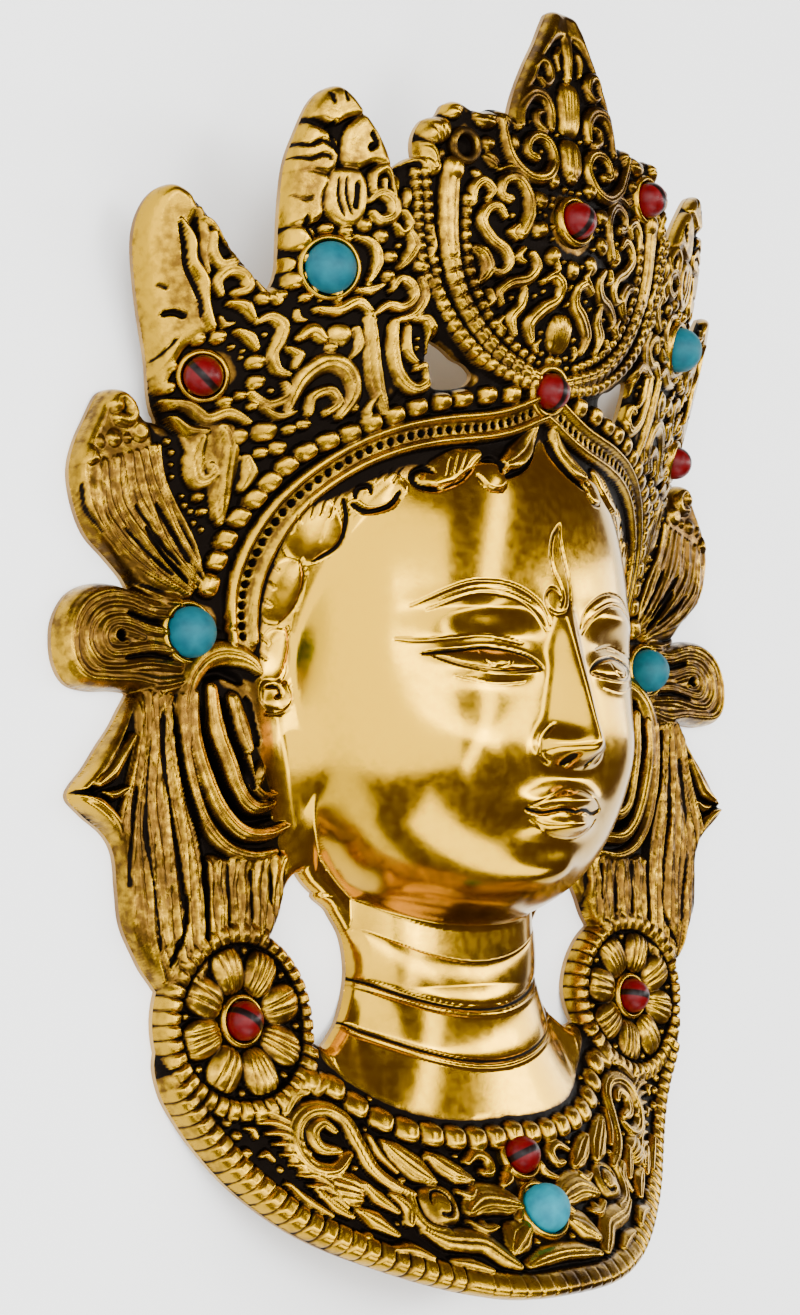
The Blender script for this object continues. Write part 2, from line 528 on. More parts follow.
def carve_tendrils(c):
    for angle in range(18, 378, 36):
        c.boss(round_place(STONES["forehead_stone"], 12.4, angle), (2.7, 2.3), 2.4, angle, fullness=2.6)
    c.leaves(2.5, (
        ([(31.4, 109), (31.4, 112.8), (28.8, 115), (26, 113.2), (27.2, 111)], [0.9, 1.7, 1.8, 1.5, 1], 1),
        ([(17, 103.6), (15.2, 108), (15.2, 113), (18.4, 117), (22.6, 116), (23.5, 112.5), (21, 111.6)],
         [2.2, 2, 1.9, 1.9, 1.8, 1.5, 1.7], 1),
        ([(22, 107), (24, 109.2), (27, 108.4), (28.5, 105), (25.2, 101.2), (21.2, 98.8), (19.8, 95.6),
         (21.6, 93.2), (24, 93.6)], [1, 1.6, 1.8, 1.9, 1.9, 1.8, 1.7, 1.5, 1], 1),
        ([(16.4, 99.6), (17.6, 97.4), (15.8, 96.4)], [1, 1.4, 0.9], 0),
        ([(13.6, 98.8), (11.8, 95.6), (14, 92.4), (18.6, 91), (21.6, 88.2), (20.4, 85.8)],
         [1.1, 1.8, 2, 1.9, 1.6, 0.9], 1),
        ([(14.4, 90), (14.4, 86.2), (16.8, 82.8), (15.2, 78.8)], [1, 1.8, 2, 1], 1),
        ([(9, 92.6), (6, 94.2), (3, 92.2), (3.6, 88.6), (7.4, 86), (10.8, 82), (9.4, 77.8)],
         [1.1, 1.7, 1.8, 1.8, 2.2, 2.3, 1.1], 1),
        ([(0, 92.6), (-1.4, 90.4), (0, 88)], [0.7, 1.2, 0.7], 0),
        ([(19.6, 82.6), (20.6, 80.8), (18.6, 79.6)], [0.8, 1.2, 0.8], 0),
        ([(29.6, 98.2), (27, 97), (25.4, 93.6), (27.2, 90.6)], [1.4, 2.2, 2.4, 1.2], 2),
        ([(24.4, 88.6), (23.2, 86.4), (24.6, 84.6)], [1, 1.5, 0.9], 0),
        ([(18.4, 105.4), (20.2, 103.4), (18.6, 101.6)], [0.7, 1.2, 0.7], 0),
        ([(6.2, 97.6), (5.4, 95.6), (7.4, 94.4)], [0.6, 1.1, 0.6], 0),
        ([(24.4, 118.4), (21.4, 119.6), (18.6, 119.2)], [0.7, 1.3, 0.7], 0)))
    c.boss((0, 81), (5.2, 4.6), 3, 90, fullness=2.3, streaks=5)
    c.boss((1.4, 74.4), (1.6, 1.6), 1.8)


def carve_inner_leaf(c):
    for points in (
            [(70, 133.8), (75.4, 130.6), (75.6, 127), (72, 125.2), (68.6, 124.2), (65.6, 126), (62, 127.8),
             (65, 133)],
            [(77.4, 121.6), (77.8, 112.8), (71.4, 112.4), (68, 113), (67.6, 117.6), (69.2, 120.6),
             (72.6, 122.2), (76.6, 124)],
            [(65.4, 114.8), (65.6, 119.6), (64.6, 123.4), (61, 126.2), (56.4, 122.8), (52.6, 116.8),
             (54.2, 115.4), (58.4, 116), (62, 114.2)],
            [(77.6, 111.6), (77.2, 101.4), (72.6, 100.2), (69.4, 101.8), (69.7, 106), (69, 111.2)],
            [(68, 111.8), (68.6, 106), (67.2, 102.4), (63, 100.2), (60, 102.6), (59.6, 108.4),
             (61.6, 112.8), (65.4, 113.2)]):
        c.plate(points, 2.3, 2, 0.9)
    c.engrave((
        ([(77, 119.2), (73.8, 118.2), (71, 119.4), (68.4, 118)], 0.6, 0.9),
        ([(59.8, 122.4), (58.6, 120), (60.2, 118.6)], 0.9, 1.3),
        ([(66.6, 110.6), (66, 106), (64.4, 102.6)], 0.45, 0.6),
        ([(64.8, 111), (64.2, 106.6), (62.6, 103)], 0.45, 0.6),
        ([(62, 110), (61.7, 107), (62, 104.4)], 0.9, 0.9),
        ([(70, 131), (69.4, 128.6)], 0.5, 0.7),
        ([(66.8, 131.6), (66.4, 129.4)], 0.5, 0.7),
        ([(76.8, 115.6), (73.4, 115), (70.4, 116.2), (68.6, 115.4)], 0.5, 0.6),
        ([(76, 106.6), (73.6, 105.4), (71.6, 106)], 0.5, 0.4),
        ([(72.4, 101.6), (71.6, 98.4), (69.6, 96.2)], 0.7, 1.1),
        ([(68.8, 124), (69, 120.4), (67.2, 117)], 0.9, 1.2)))
    c.bosses(2.4, 2.4, (
        (72.8, 96.6, 3.4, 3.2), (74.6, 90.6, 2, 1.9), (72.6, 86.8, 2.5, 2.2), (71, 92, 1.8, 1.6),
        (58.8, 100.6, 2.1, 2), (62.8, 98.9, 1.7, 1.5), (54.4, 98.4, 2.1, 2), (51.6, 93.8, 2, 1.8),
        (51.6, 89.2, 1.9, 1.8), (67.4, 99.2, 1.9, 1.6), (49.2, 108, 1.3, 3), (43.9, 92.4, 2, 1.9),
        (62.2, 97, 1.2, 1), (69.8, 88.4, 1.5, 1.4), (75, 83.4, 1.6, 1.4), (69.6, 83, 1.5, 1.3)))
    c.leaves(2.4, (
        ([(57.8, 109), (58, 112.6), (55.2, 114.6), (52.6, 112.4), (52.4, 108.4)], [1, 1.5, 1.6, 1.5, 1],
         0),
        ([(55.4, 111.6), (55.2, 109)], [1, 0.8], 0),
        ([(58.4, 106.4), (56, 108.6), (52.6, 107.2), (52.2, 103.6), (55.2, 102.2), (57.4, 103.8)],
         [1, 2, 2.2, 2.1, 1.8, 1.1], 1),
        ([(49.6, 104.8), (47.6, 102.2), (49.4, 99.8), (51.2, 101.4)], [1.1, 1.6, 1.5, 0.9], 0),
        ([(47.8, 100.4), (45.8, 97), (47.4, 93.6), (49.2, 91.4)], [1.4, 2.3, 2, 1], 1),
        ([(60.6, 97.8), (56.2, 96.4), (54.4, 92), (56.2, 87.4)], [0.8, 1.5, 1.6, 0.8], 1),
        ([(68.4, 83.8), (67.2, 86.2), (63.8, 85.8), (62.6, 83)], [0.9, 1.7, 2, 1.2], 1),
        ([(66.8, 80.4), (62, 80.4), (58, 82.6), (54.8, 80.8)], [1, 1.7, 1.8, 1], 1),
        ([(58.4, 85.4), (55.4, 85.6), (52.6, 87)], [0.8, 1.7, 0.8], 1),
        ([(50.2, 86), (48.6, 88.8), (45.4, 87.8), (44.4, 84.6), (47, 82.2), (50.6, 82.4), (53.4, 80.2)],
         [1, 1.5, 1.7, 1.6, 1.6, 1.5, 0.9], 1),
        ([(43.4, 89.4), (41.6, 85.6), (43.6, 80.8), (48.6, 78.8)], [1, 1.6, 1.6, 0.9], 1),
        ([(42.2, 101), (41, 97.4), (41.8, 94.6)], [0.8, 1.3, 0.8], 0)))


def carve_outer_leaf(c):
    c.plate([(95.4, 60), (99.4, 72), (102.8, 84), (105.4, 97), (104.4, 105.6), (100.8, 109.4),
        (96.2, 107.4), (94.4, 102.6), (95.6, 97), (94.8, 91), (91.6, 86), (89.8, 79.6), (88, 74.6),
        (92.4, 70)], 2.3, 3)
    c.leaf([(98.4, 99.6), (95.6, 95.4), (94.8, 90.6), (91.8, 86), (91, 81), (88.4, 75.4)],
        [0.7, 1.3, 1.7, 1.8, 2, 1.2], 3.3)
    c.leaf([(94.4, 102.6), (92.8, 97.4), (92.4, 92.4), (90.6, 88)], [1, 1.4, 1.4, 0.7], 1.9)
    c.engrave((
        ([(98.4, 78.2), (96.4, 78.6), (94.2, 77.8)], 0.8, 1.3),
        ([(100.4, 84.8), (98.6, 84)], 0.5, 0.5),
        ([(95.8, 105.6), (94.6, 103.4)], 0.5, 0.7),
        ([(98.4, 99), (96.8, 94), (95.6, 88.6), (92.6, 83), (90.8, 77.6)], 0.5, 0.8),
        ([(97.4, 68), (94.8, 72.6)], 0.5, 0.6)))
    c.leaves(2.4, (
        ([(93.6, 100.4), (89.8, 98.6), (86, 95), (82.8, 90.4)], [0.9, 1.4, 1.6, 0.9], 0),
        ([(90.8, 97.2), (90.6, 92.8), (88.4, 90), (85.4, 91.4), (85.4, 94.6), (87.6, 95.4)],
         [0.9, 1.5, 1.6, 1.5, 1.4, 1.1], 1),
        ([(87.4, 83), (88.6, 86), (86.4, 88.6), (83, 87.8), (82.2, 84.6), (84.4, 83.6)],
         [0.9, 1.6, 1.8, 1.8, 1.6, 1.3], 1),
        ([(85.4, 81.2), (82, 80.6), (80, 77.6)], [0.8, 1.7, 0.8], 0),
        ([(79.8, 86.8), (77.4, 84.6), (75.4, 81.8)], [0.9, 2.1, 1.2], 1),
        ([(79, 77), (76.4, 78.2), (73.6, 76.4), (73.6, 72.8), (74.6, 69.4), (73.2, 66.2), (70.6, 65)],
         [1, 1.6, 1.8, 1.8, 1.7, 1.5, 0.9], 1),
        ([(71.6, 71), (69, 69.6), (69.6, 66.8)], [0.9, 1.6, 1], 0),
        ([(77.6, 60.6), (73.4, 58), (69.6, 60.2), (71, 63)], [1, 1.6, 1.6, 0.9], 1),
        ([(82.6, 74.8), (80, 73.4), (78.2, 70.8)], [0.9, 1.7, 0.8], 1),
        ([(98.4, 63), (96, 67.4), (94.6, 71)], [0.8, 1.4, 0.8], 0)))
    c.bosses(2.3, 2.4, (
        (86.2, 73.4, 1.9, 1.8), (90.2, 72.8, 1.7, 1.7), (77.6, 67.8, 2.2, 2), (76.8, 63.2, 2.1, 1.9),
        (94.8, 66.4, 1.8, 1.6), (94.4, 61.6, 1.9, 1.7), (82.4, 58.6, 1.8, 1.5), (79.6, 60, 1.5, 1.4),
        (78.6, 82.4, 2, 1.8), (92.6, 57.8, 1.6, 1.5)))


def carve_crown_foot(c):
    """Leaves and volutes between the crown's spikes and the diadem."""
    c.plate([(90, 52.6), (84, 54), (79, 53), (76.6, 44), (77.8, 34), (80.4, 30.6), (82.6, 37), (84.8, 43),
        (88.4, 46.4)], 1.5, 1.4)
    c.plate([(66, 70), (57, 76), (48, 71), (44.6, 62), (52, 57), (62, 56)], 0.9, 2.2)
    c.leaves(2.5, (
        ([(69.4, 57), (67.4, 64), (62.6, 68), (57.6, 66.4), (55.4, 61), (57.6, 55.8)],
         [1.4, 2.4, 2.8, 2.7, 2.4, 1.4], 1),
        ([(64.6, 56.2), (64.4, 60), (60.8, 61.6), (58.6, 58.8), (60.6, 56.6)], [1.2, 1.6, 1.7, 1.5, 1.3],
         1),
        ([(54.4, 79), (52.8, 71), (50.6, 63.6), (47.4, 57.4)], [1.6, 2.6, 2.7, 1.4], 2),
        ([(48.4, 78.6), (47.8, 72), (45.2, 66), (40.8, 63.2), (37.6, 65.4), (38.8, 68.8), (41.2, 68)],
         [1.2, 2, 2.1, 2, 1.8, 1.5, 1], 1),
        ([(45, 77.6), (44.4, 72.4), (41.8, 69.6)], [1, 1.6, 0.9], 0),
        ([(43.4, 79.6), (40.4, 79.8), (38.4, 76.8), (37.8, 72.6)], [1.1, 1.8, 1.9, 0.9], 1),
        ([(49.8, 61.4), (51.6, 57), (49.6, 54.6)], [0.8, 1.5, 0.8], 0),
        ([(94, 58.4), (89.6, 57.4), (85.6, 54.6), (81.4, 56), (77, 53.8)], [0.9, 1.7, 1.9, 1.8, 1], 1),
        ([(92, 54.6), (88.8, 52), (85, 51.6)], [0.9, 1.6, 0.9], 0),
        ([(69.4, 73.6), (66.8, 75.4), (64.4, 73.6)], [1.2, 2.2, 1.4], 0),
        ([(57.4, 76.4), (56.2, 72.4), (57.6, 69.6)], [0.9, 1.6, 0.8], 1),
        ([(74.6, 57), (71, 55.4), (67.8, 56.4)], [0.8, 1.5, 0.8], 0),
        ([(86, 50), (86.4, 44.8), (84.8, 40.2), (82, 41.4), (82.8, 43.8)], [1.6, 2.6, 2.4, 1.8, 1], 1),
        ([(82, 52), (80.4, 47.4), (80, 42), (79.4, 36), (78.6, 30.4)], [2, 2.9, 2.8, 2.6, 1], 2),
        ([(76, 45.6), (74.6, 42), (75.6, 38.4)], [1.2, 2.3, 1.2], 1)))
    c.bosses(2.3, 2.3, (
        (60.8, 74.6, 3.1, 3), (73.2, 51.8, 3.1, 2.6), (78.4, 50.6, 2.4, 2.2), (68, 52.4, 1.7, 1.6),
        (65.2, 53.6, 1.9, 1.5), (76.6, 57.6, 1.4, 1.3), (69.6, 48, 2.2, 2), (73, 46.8, 1.8, 1.6),
        (62.2, 71.6, 1.7, 1.5), (89.6, 61, 1.4, 1.2), (84, 36.4, 1.5, 1.4), (82.6, 33, 1.2, 1.2),
        (54.6, 57.8, 1.3, 1.3)))


def carve_hair(c):
    """Scalloped locks along the forehead and temple, with their roots under the band."""
    for centre, radii, turn, height in HAIR_LOBES:
        c.boss(centre, radii, height, turn, fullness=2.6)
    c.leaf([(22, 49), (26.6, 47), (31, 44), (34.4, 41)], [1.4, 3.4, 3.6, 1.6], 1.7)
    c.leaf([(3.4, 57.4), (6, 52.8), (10, 49.2), (14.8, 46.6)], [1.3, 3.3, 3.5, 1.5], 2.1, lines=1)
    c.engrave((
        ([(52, 36.6), (50.4, 31.4), (51.6, 25.4), (56, 21.8)], 0.8, 0.9),
        ([(50.2, 35.6), (46.8, 33.8), (42.6, 35), (40.4, 38.6)], 0.8, 1.1),
        ([(49.8, 36.8), (49.4, 39.2), (47.2, 39.8), (46.6, 38.2)], 0.7, 1.2),
        ([(32.4, 38.8), (36.4, 39.8), (37.4, 42.8), (35.2, 44.6), (33.8, 43.2)], 0.75, 1.3),
        ([(31.6, 39.2), (27, 41.4), (23.4, 45)], 0.5, 0.6),
        ([(23, 43), (21, 40), (17.6, 39.4), (15.4, 41.4)], 0.5, 0.5),
        ([(20.6, 47), (17.6, 47.8), (15.8, 46), (16.8, 44.2)], 0.75, 1.2),
        ([(15, 43.2), (9.6, 45.6), (5, 49.4), (2.2, 54.4)], 0.9, 1.4),
        ([(58.8, 22), (57.2, 16.6), (57.8, 11), (60.4, 7)], 0.55, 0.5),
        ([(58.4, 6), (57.2, 1), (57.4, -5), (58.8, -8)], 0.5, 0.4),
        ([(57.4, -8), (56.8, -12), (59.4, -15.2), (64, -15.4)], 0.5, 0.45),
        ([(63.4, -9), (60.4, -8.6), (59.6, -10.4), (61, -11.4)], 0.5, 0.7)))
    for low, high in (((54.6, 32), (53.2, 38)), ((56.8, 32.4), (55.8, 38)), ((58.8, 32), (58.4, 37.2)),
                      ((60.8, 30.6), (61, 35.6)), ((62.4, 28.4), (63.4, 32.4)), ((42, 41), (39.6, 44.4)),
                      ((44, 41.4), (42, 44.2)), ((46, 40.8), (44.4, 43.4)), ((27, 44.4), (24.4, 49.4)),
                      ((29, 43.4), (26.8, 48.6)), ((31, 42.6), (29.2, 47.2)), ((63, 19), (65.6, 22)),
                      ((63.4, 15), (66, 17.6)), ((63.4, 11), (66, 12.6)), ((62.6, 2), (65.4, 5)),
                      ((62.8, -2), (65.4, 0))):
        c.incise([low, high], 0.5, 0.35, taper=0.5)


def carve_diadem(c):
    c.strand(FINE_BAND, 4.2, 1.5, flat=3)
    for side in (-2.7, 2.7):
        c.strand(offset_path(FINE_BAND, side)[::4], 1.3, 2.7, steps=2)
    path = spline(FINE_BAND, False, 10)
    lengths = path_lengths(path)
    holes = 42
    for i in range(holes):
        c.pit(place_along(path, lengths, lengths[-1] * (i + 0.6) / holes), 0.74, 1.7)
    beads = [(79.2, 15.5), (77.8, 21.4), (76.6, 26.4), (74.8, 31.6), (72.4, 36), (70, 40), (67.2, 43.8),
        (63.6, 47.2), (59.2, 49.8), (54.6, 51.8), (50, 54.4), (44.8, 56.6), (39.4, 58.8), (33.2, 60.6),
        (27.4, 62), (20.4, 63.4), (12.8, 64.4)]
    for i, place in enumerate(beads):
        before, after = beads[max(i - 1, 0)], beads[min(i + 1, len(beads) - 1)]
        turn = degrees(atan2(after[1] - before[1], after[0] - before[0]))
        c.boss(place, (2.65, 2.5) if i else (3.2, 2.8), 3.1, turn, fullness=3)


def carve_side_leaf(c):
    c.plate([(103, 61), (110, 58.4), (116, 50), (119, 42), (118.4, 32), (113, 23), (106, 17.6),
        (96, 13.8), (85, 11.4), (81, 17), (84, 24), (88.6, 33), (93, 41), (95.6, 49), (98, 56)], 1.3, 3)
    c.leaf([(106, 20.4), (112.4, 27), (116.2, 35), (115.6, 44), (112, 52.4), (108, 59.4), (103.6, 60.6)],
        [1.6, 2.8, 3.2, 3.4, 3, 2.4, 1.2], 2.1, lines=1)
    c.sheaf([(111.6, 42), (111, 31), (105, 23), (96, 17), (85, 12.6)], [(94.6, 48), (91.8, 39.6),
        (87, 30.4), (82.6, 22), (80.4, 17)], 13, 1.9, 0.62, 0.5, lines=1)
    c.engrave((
        ([(98, 28), (92, 21.4), (85.6, 16)], 0.9, 1.3),
        ([(101, 33), (94, 25.4), (87.6, 19.6)], 0.7, 1),
        ([(94.6, 34), (89.6, 27), (84.6, 20.4)], 0.8, 1.2),
        ([(104, 27), (97, 21.6), (90, 17.4)], 0.6, 0.9),
        ([(115.6, 37), (114, 30.6), (110, 25.4)], 0.5, 0.7)))
    c.leaf([(107.6, 57.2), (104.8, 59.6), (101.8, 57.2), (102.6, 53.6), (106, 53.4)],
        [1.8, 2.2, 2.2, 2.2, 1.8], 2.9)
    c.boss((106.6, 57), (3, 2.9), 3)
    c.boss((100, 51), (3.2, 3), 2.6, dimple=0.5)
    c.boss((107, 48.6), (2.6, 2.5), 2.7)
    c.boss((103.2, 49), (1.7, 1.5), 2.2)
    c.boss((111, 47.4), (2.4, 1.7), 2, 60)
    c.plate([(116.2, 48.4), (117.4, 41), (110.8, 42), (112, 45.6)], 2.5, 2)


def carve_ribbon_knot(c):
    c.plate([(86, 12), (98, 12.4), (111, 14), (119, 10), (122, 2), (121, -6), (114, -11.4), (102, -11),
        (92, -12.4), (84, -9)], 1.3, 1.6)
    c.leaf([(88, 10.4), (96, 10.6), (104, 12.4), (111, 11.8), (117, 8), (120, 1.4), (119.4, -5),
        (115.4, -9), (108.4, -9.4), (101.4, -9.2), (94.6, -10), (87, -8.4)],
        [1.8, 2.6, 3, 3.1, 3.2, 3.2, 3.2, 3, 2.9, 2.8, 2.8, 1.8], 2.3, lines=2)
    c.leaf([(88, 7), (96, 7), (104, 8.8), (110.4, 8), (114.8, 4), (115.4, -1.4), (111.8, -5.6),
        (105.6, -5.8), (98, -4.6), (88, -5)], [1.5, 2.2, 2.5, 2.6, 2.5, 2.5, 2.5, 2.5, 2.4, 1.6], 2.1,
        lines=2)
    c.leaf([(89, 3.2), (97, 3.6), (103.6, 5.2), (108.8, 4.4), (111, 1), (108.6, -2.4), (103, -2),
        (96.4, -0.8), (89, -1.2)], [1.3, 1.9, 2.1, 2.1, 2.1, 2.1, 2.1, 1.9, 1.3], 2.1, lines=1)
    c.leaf([(98.6, 1.4), (103.4, 2.6), (107, 2.8), (107.6, 0.6), (103.8, 0.2)], [0.8, 1.2, 1.3, 1.3, 0.9],
        2)
    c.incise([(103.6, 7), (96, 5.4), (90, 6)], 0.8, 1.5)
    c.incise([(104.4, -3.8), (97, -2.6), (90, -3.2)], 0.6, 1.1)
    c.pit((105.6, 1.5), 1.15, 2.4)


def carve_hanging_ribbon(c):
    left = [(101, -11), (101, -20), (103, -30), (106, -40), (107, -50), (106.6, -60), (105, -70),
        (99, -80)]
    right = [(91, -12), (90.4, -20), (89, -29), (86.6, -37), (84, -46), (82.6, -56), (82.4, -68),
        (83, -79)]
    c.plate(left + right[::-1], 1.35, 1.6, 1)
    c.sheaf(left, right, 13, 2.2, 0.56, 0.6, lines=1)
    c.engrave((
        ([(90.6, -14), (88.6, -28), (86, -37), (82.8, -46), (81.6, -56), (81.2, -70)], 1.1, 2),
        ([(93.6, -16), (93.4, -28), (91.8, -40), (89.4, -52), (87.4, -66)], 0.8, 1.4),
        ([(97.6, -22), (99, -34), (99.4, -46), (97, -60), (95.4, -72)], 0.6, 1),
        ([(101.6, -34), (103.6, -46), (103.4, -58)], 0.5, 0.8),
        ([(87.4, -60), (88.4, -68), (93, -76)], 0.8, 1.3)))
    c.leaf([(101.4, -12), (106.4, -21), (112, -29), (118.4, -35.2)], [1.4, 2.2, 2.8, 1.6], 2.4)
    c.leaf([(102.6, -22), (106, -27), (109, -31), (113, -33.6)], [0.9, 1.7, 2.2, 1.2], 2.8)
    c.leaf([(119, -36.4), (112.4, -39), (108, -43.4), (107.6, -50), (107.4, -60), (106, -70)],
        [1.6, 2.6, 2.6, 2.2, 1.9, 1], 2.6, lines=1)
    c.leaf([(104.6, -34.4), (108.4, -36), (112, -36)], [0.8, 1.5, 0.8], 2.2)
    c.incise([(118, -35.6), (113, -35.8), (109.6, -37.6)], 0.8, 1.6)


def carve_ear(c):
    c.leaf([(65.4, -5.2), (67.4, -2.8), (71, -1.2), (76, -1), (81, -3.2), (85, -8), (86.8, -15),
        (86.4, -24)], [1.1, 2.4, 3.2, 3.5, 3.4, 3.2, 2.8, 1.6], 2.6, lines=1)
    c.leaf([(87.8, -12), (87.4, -22), (85.4, -32), (82, -41), (76, -47.6), (68, -50.2), (60, -49.2)],
        [1.2, 2.1, 2.3, 2.3, 2.1, 1.7, 1], 2.7, lines=1)
    c.leaf([(84.2, -11), (84.2, -21), (81.2, -31), (76.8, -39.4), (70.6, -44.6), (63, -45), (56.6, -43)],
        [1.4, 2.2, 2.4, 2.4, 2.3, 1.9, 1], 3.1, lines=2)
    c.leaf([(79, -9.6), (78, -19), (75.4, -27), (72.2, -35), (67.6, -38.6), (61.6, -37.6)],
        [1.7, 2.4, 2.3, 2.3, 2.1, 1], 2.8, lines=2)
    c.leaf([(73, -12), (71.8, -19), (70, -24.6)], [1.8, 2.5, 1.4], 2, lines=1)
    c.leaf([(70.6, -26), (69, -32.4), (65.4, -35.6), (61, -35.2)], [0.8, 1.3, 1.3, 0.7], 2.3)
    c.boss((67.2, -30.6), (3.5, 1.8), 3.1, 100)
    c.engrave((
        ([(82.2, -13), (81.4, -20), (78.6, -27.4), (75, -35.6), (69.6, -41.4), (61, -41)], 1.2, 2),
        ([(76.4, -11), (75, -15), (73.8, -21), (71.4, -28), (68.6, -34)], 0.9, 1.5),
        ([(69, -12), (68.2, -18), (67, -23)], 1.5, 1.7),
        ([(80, -7), (75, -5.6), (70, -7.6)], 1.5, 2)))
    c.plate([(80.6, -50), (80, -60), (79.8, -71), (70, -71), (59, -70), (57.6, -58), (56.4, -50),
        (68, -52)], 1.3, 1.6)
    c.sheaf([(80.4, -52), (80, -60), (79.6, -70)], [(56.8, -51), (58, -58), (59.2, -69)], 10, 2.1, 0.56,
        0.4, lines=1)
    for x, low, high in ((61.6, -62, -52.6), (67.6, -66, -53.6), (74.8, -67, -52)):
        c.incise([(x, high), (x - 0.4, low)], 0.6, 1.3)


def carve_rosette(c):
    """A notched ring, eight petals with small knobs between them, and an engraved circle."""
    around = range(0, 360, 15)
    c.strand([round_place(ROSETTE_CENTRE, 21, angle) for angle in around], 2.9, 2.6, closed=True, steps=4,
             pitch=3.3, groove=0.9, flat=2.6)
    for i in range(8):
        petal, knob = 29 + 45 * i, 6.5 + 45 * i
        c.boss(round_place(ROSETTE_CENTRE, 12.8, petal), (6.2, 5.1), 3.1, petal, 2.4, 2 + i % 3)
        c.boss(round_place(ROSETTE_CENTRE, 17, knob), (1.3, 1.1), 1.5, knob)
    c.incise([round_place(ROSETTE_CENTRE, 18.4, angle) for angle in around], 0.5, 0.9, closed=True)


def carve_collar(c):
    beads = [(x, y - 2.4 * min(max((x - 12) / 26, 0), 1)) for x, y in COLLAR_BEADS] + [(54.4, -105)]
    c.bead_row(beads, 6.8, 3.2, 3.3, 3.1, fullness=2.8)
    c.leaves(2.8, (
        ([(50, -122.6), (54.6, -126), (60, -125), (62.8, -120), (61.6, -115), (57.4, -112), (52, -112),
         (48, -115), (46.6, -120), (44.8, -126.4), (41, -130.4), (36.6, -132.8)],
         [1, 1.8, 2.5, 2.7, 2.5, 2.2, 2, 1.9, 1.8, 1.8, 1.6, 0.9], 2),
        ([(52.6, -121.6), (56.6, -120.6), (57.6, -117), (54.4, -115), (52, -117)],
         [1.2, 1.8, 1.9, 1.6, 1.1], 1),
        ([(43.4, -119), (42.2, -123.6), (39.4, -127.6)], [0.7, 1.1, 0.7], 0),
        ([(40, -120.6), (37.4, -123.6), (33.6, -127.2), (29.8, -130.6)], [0.8, 2.7, 3.3, 0.9], 3),
        ([(29, -124.6), (26, -127), (22.6, -129.4), (19, -131)], [1, 2.5, 2.5, 0.9], 2),
        ([(18.4, -127), (14.8, -125.4), (11.6, -126.8), (12.2, -129.8), (14.8, -129.8)],
         [0.9, 1.5, 1.6, 1.4, 1], 0),
        ([(48.6, -129.6), (46, -133), (42.6, -136.4)], [0.9, 1.8, 0.9], 1),
        ([(51.6, -135.6), (48.4, -138), (44.6, -141.4)], [1, 2.2, 1], 1),
        ([(42, -132.8), (39.2, -136), (40.4, -139.4)], [1, 2, 1], 1),
        ([(37.6, -132.6), (38.2, -137), (36, -140.6), (31, -142)], [1.2, 1.8, 1.6, 1], 1),
        ([(23.4, -138), (18, -135.8), (12, -136.6), (7, -138.2)], [1.4, 3.6, 3.4, 1.2], 3),
        ([(37, -141.4), (32.4, -143.6), (27.6, -144.4), (22.8, -145.4), (19, -148.8), (16, -151.2)],
         [1.2, 2.5, 2.8, 2.8, 2.5, 1.2], 1),
        ([(15.4, -147.6), (12, -145), (8.2, -143)], [1.4, 3.5, 1.7], 2),
        ([(13, -151.4), (6.4, -150.2), (0, -149.8)], [1, 2, 2], 1),
        ([(32.6, -148.6), (28.4, -149.6), (24, -151.4)], [0.8, 1.5, 0.8], 0),
        ([(45.8, -144.6), (42, -145), (38, -147.2)], [0.9, 1.6, 0.9], 0),
        ([(63.6, -112), (60, -108.2), (56.4, -107.6)], [0.9, 1.7, 0.9], 1),
        ([(53.4, -107.2), (50.4, -105.6)], [1.9, 2.2], 0),
        ([(9.6, -133), (6.8, -131.6), (5.6, -129)], [0.8, 1.5, 0.8], 0),
        ([(24, -133.6), (21.4, -134.4), (19.6, -133)], [0.8, 1.3, 0.7], 0),
        ([(60, -130.4), (57, -134), (54, -136.6)], [0.8, 1.6, 0.8], 1),
        ([(66.6, -128.4), (63, -132.4), (58.6, -136)], [0.7, 1.3, 0.7], 0),
        ([(24.6, -140.4), (21, -142.4), (17.4, -142)], [0.7, 1.3, 0.7], 0),
        ([(10, -141), (8.4, -139.6)], [0.8, 1.1], 0)), width_share=1.18)
    for i in range(9):
        y = -111.4 - 2.55 * i
        c.leaf([(72.4 - 1.55 * i, y), (67.8 - 1.4 * i, y - 0.3), (63.2 - 1.1 * i, y - 2.6)],
            [0.6, 1.4, 0.9], 2.5)
    c.boss((53, -130.4), (5.2, 4.4), 2.9, 20, fullness=2.5, streaks=3)
    c.boss((30.8, -136.2), (5.3, 5), 3, 0, fullness=2.8)
    c.incise([(33.4, -135), (32.2, -133), (29.4, -133), (28, -135.4), (29.2, -138), (31.8, -137.8)], 0.55,
        0.9)
    c.bosses(2, 2, (
        (76.4, -116.6, 1.6, 1.4), (74.4, -120.6, 1.5, 1.3), (78.6, -113.4, 1.5, 1.3),
        (66.4, -108.8, 1.6, 1.3), (52, -133.6, 1.5, 1.3), (51, -141.4, 1.5, 1.3), (20.6, -141, 1.3, 1.1),
        (38, -129.6, 1.2, 1), (29.6, -125, 1.1, 1)))


def carve_rim(c):
    """A notched rim, whose notches fade towards the middle."""
    c.strand([p for p in RIM if p[0] > 20], 3.7, 2.8, 3.5, pitch=3.3, groove=0.75, flat=2.8)
    c.strand([p for p in RIM if p[0] < 32], 3.5, 2.8, 3.5, pitch=4.2, groove=0.22, flat=2.8)


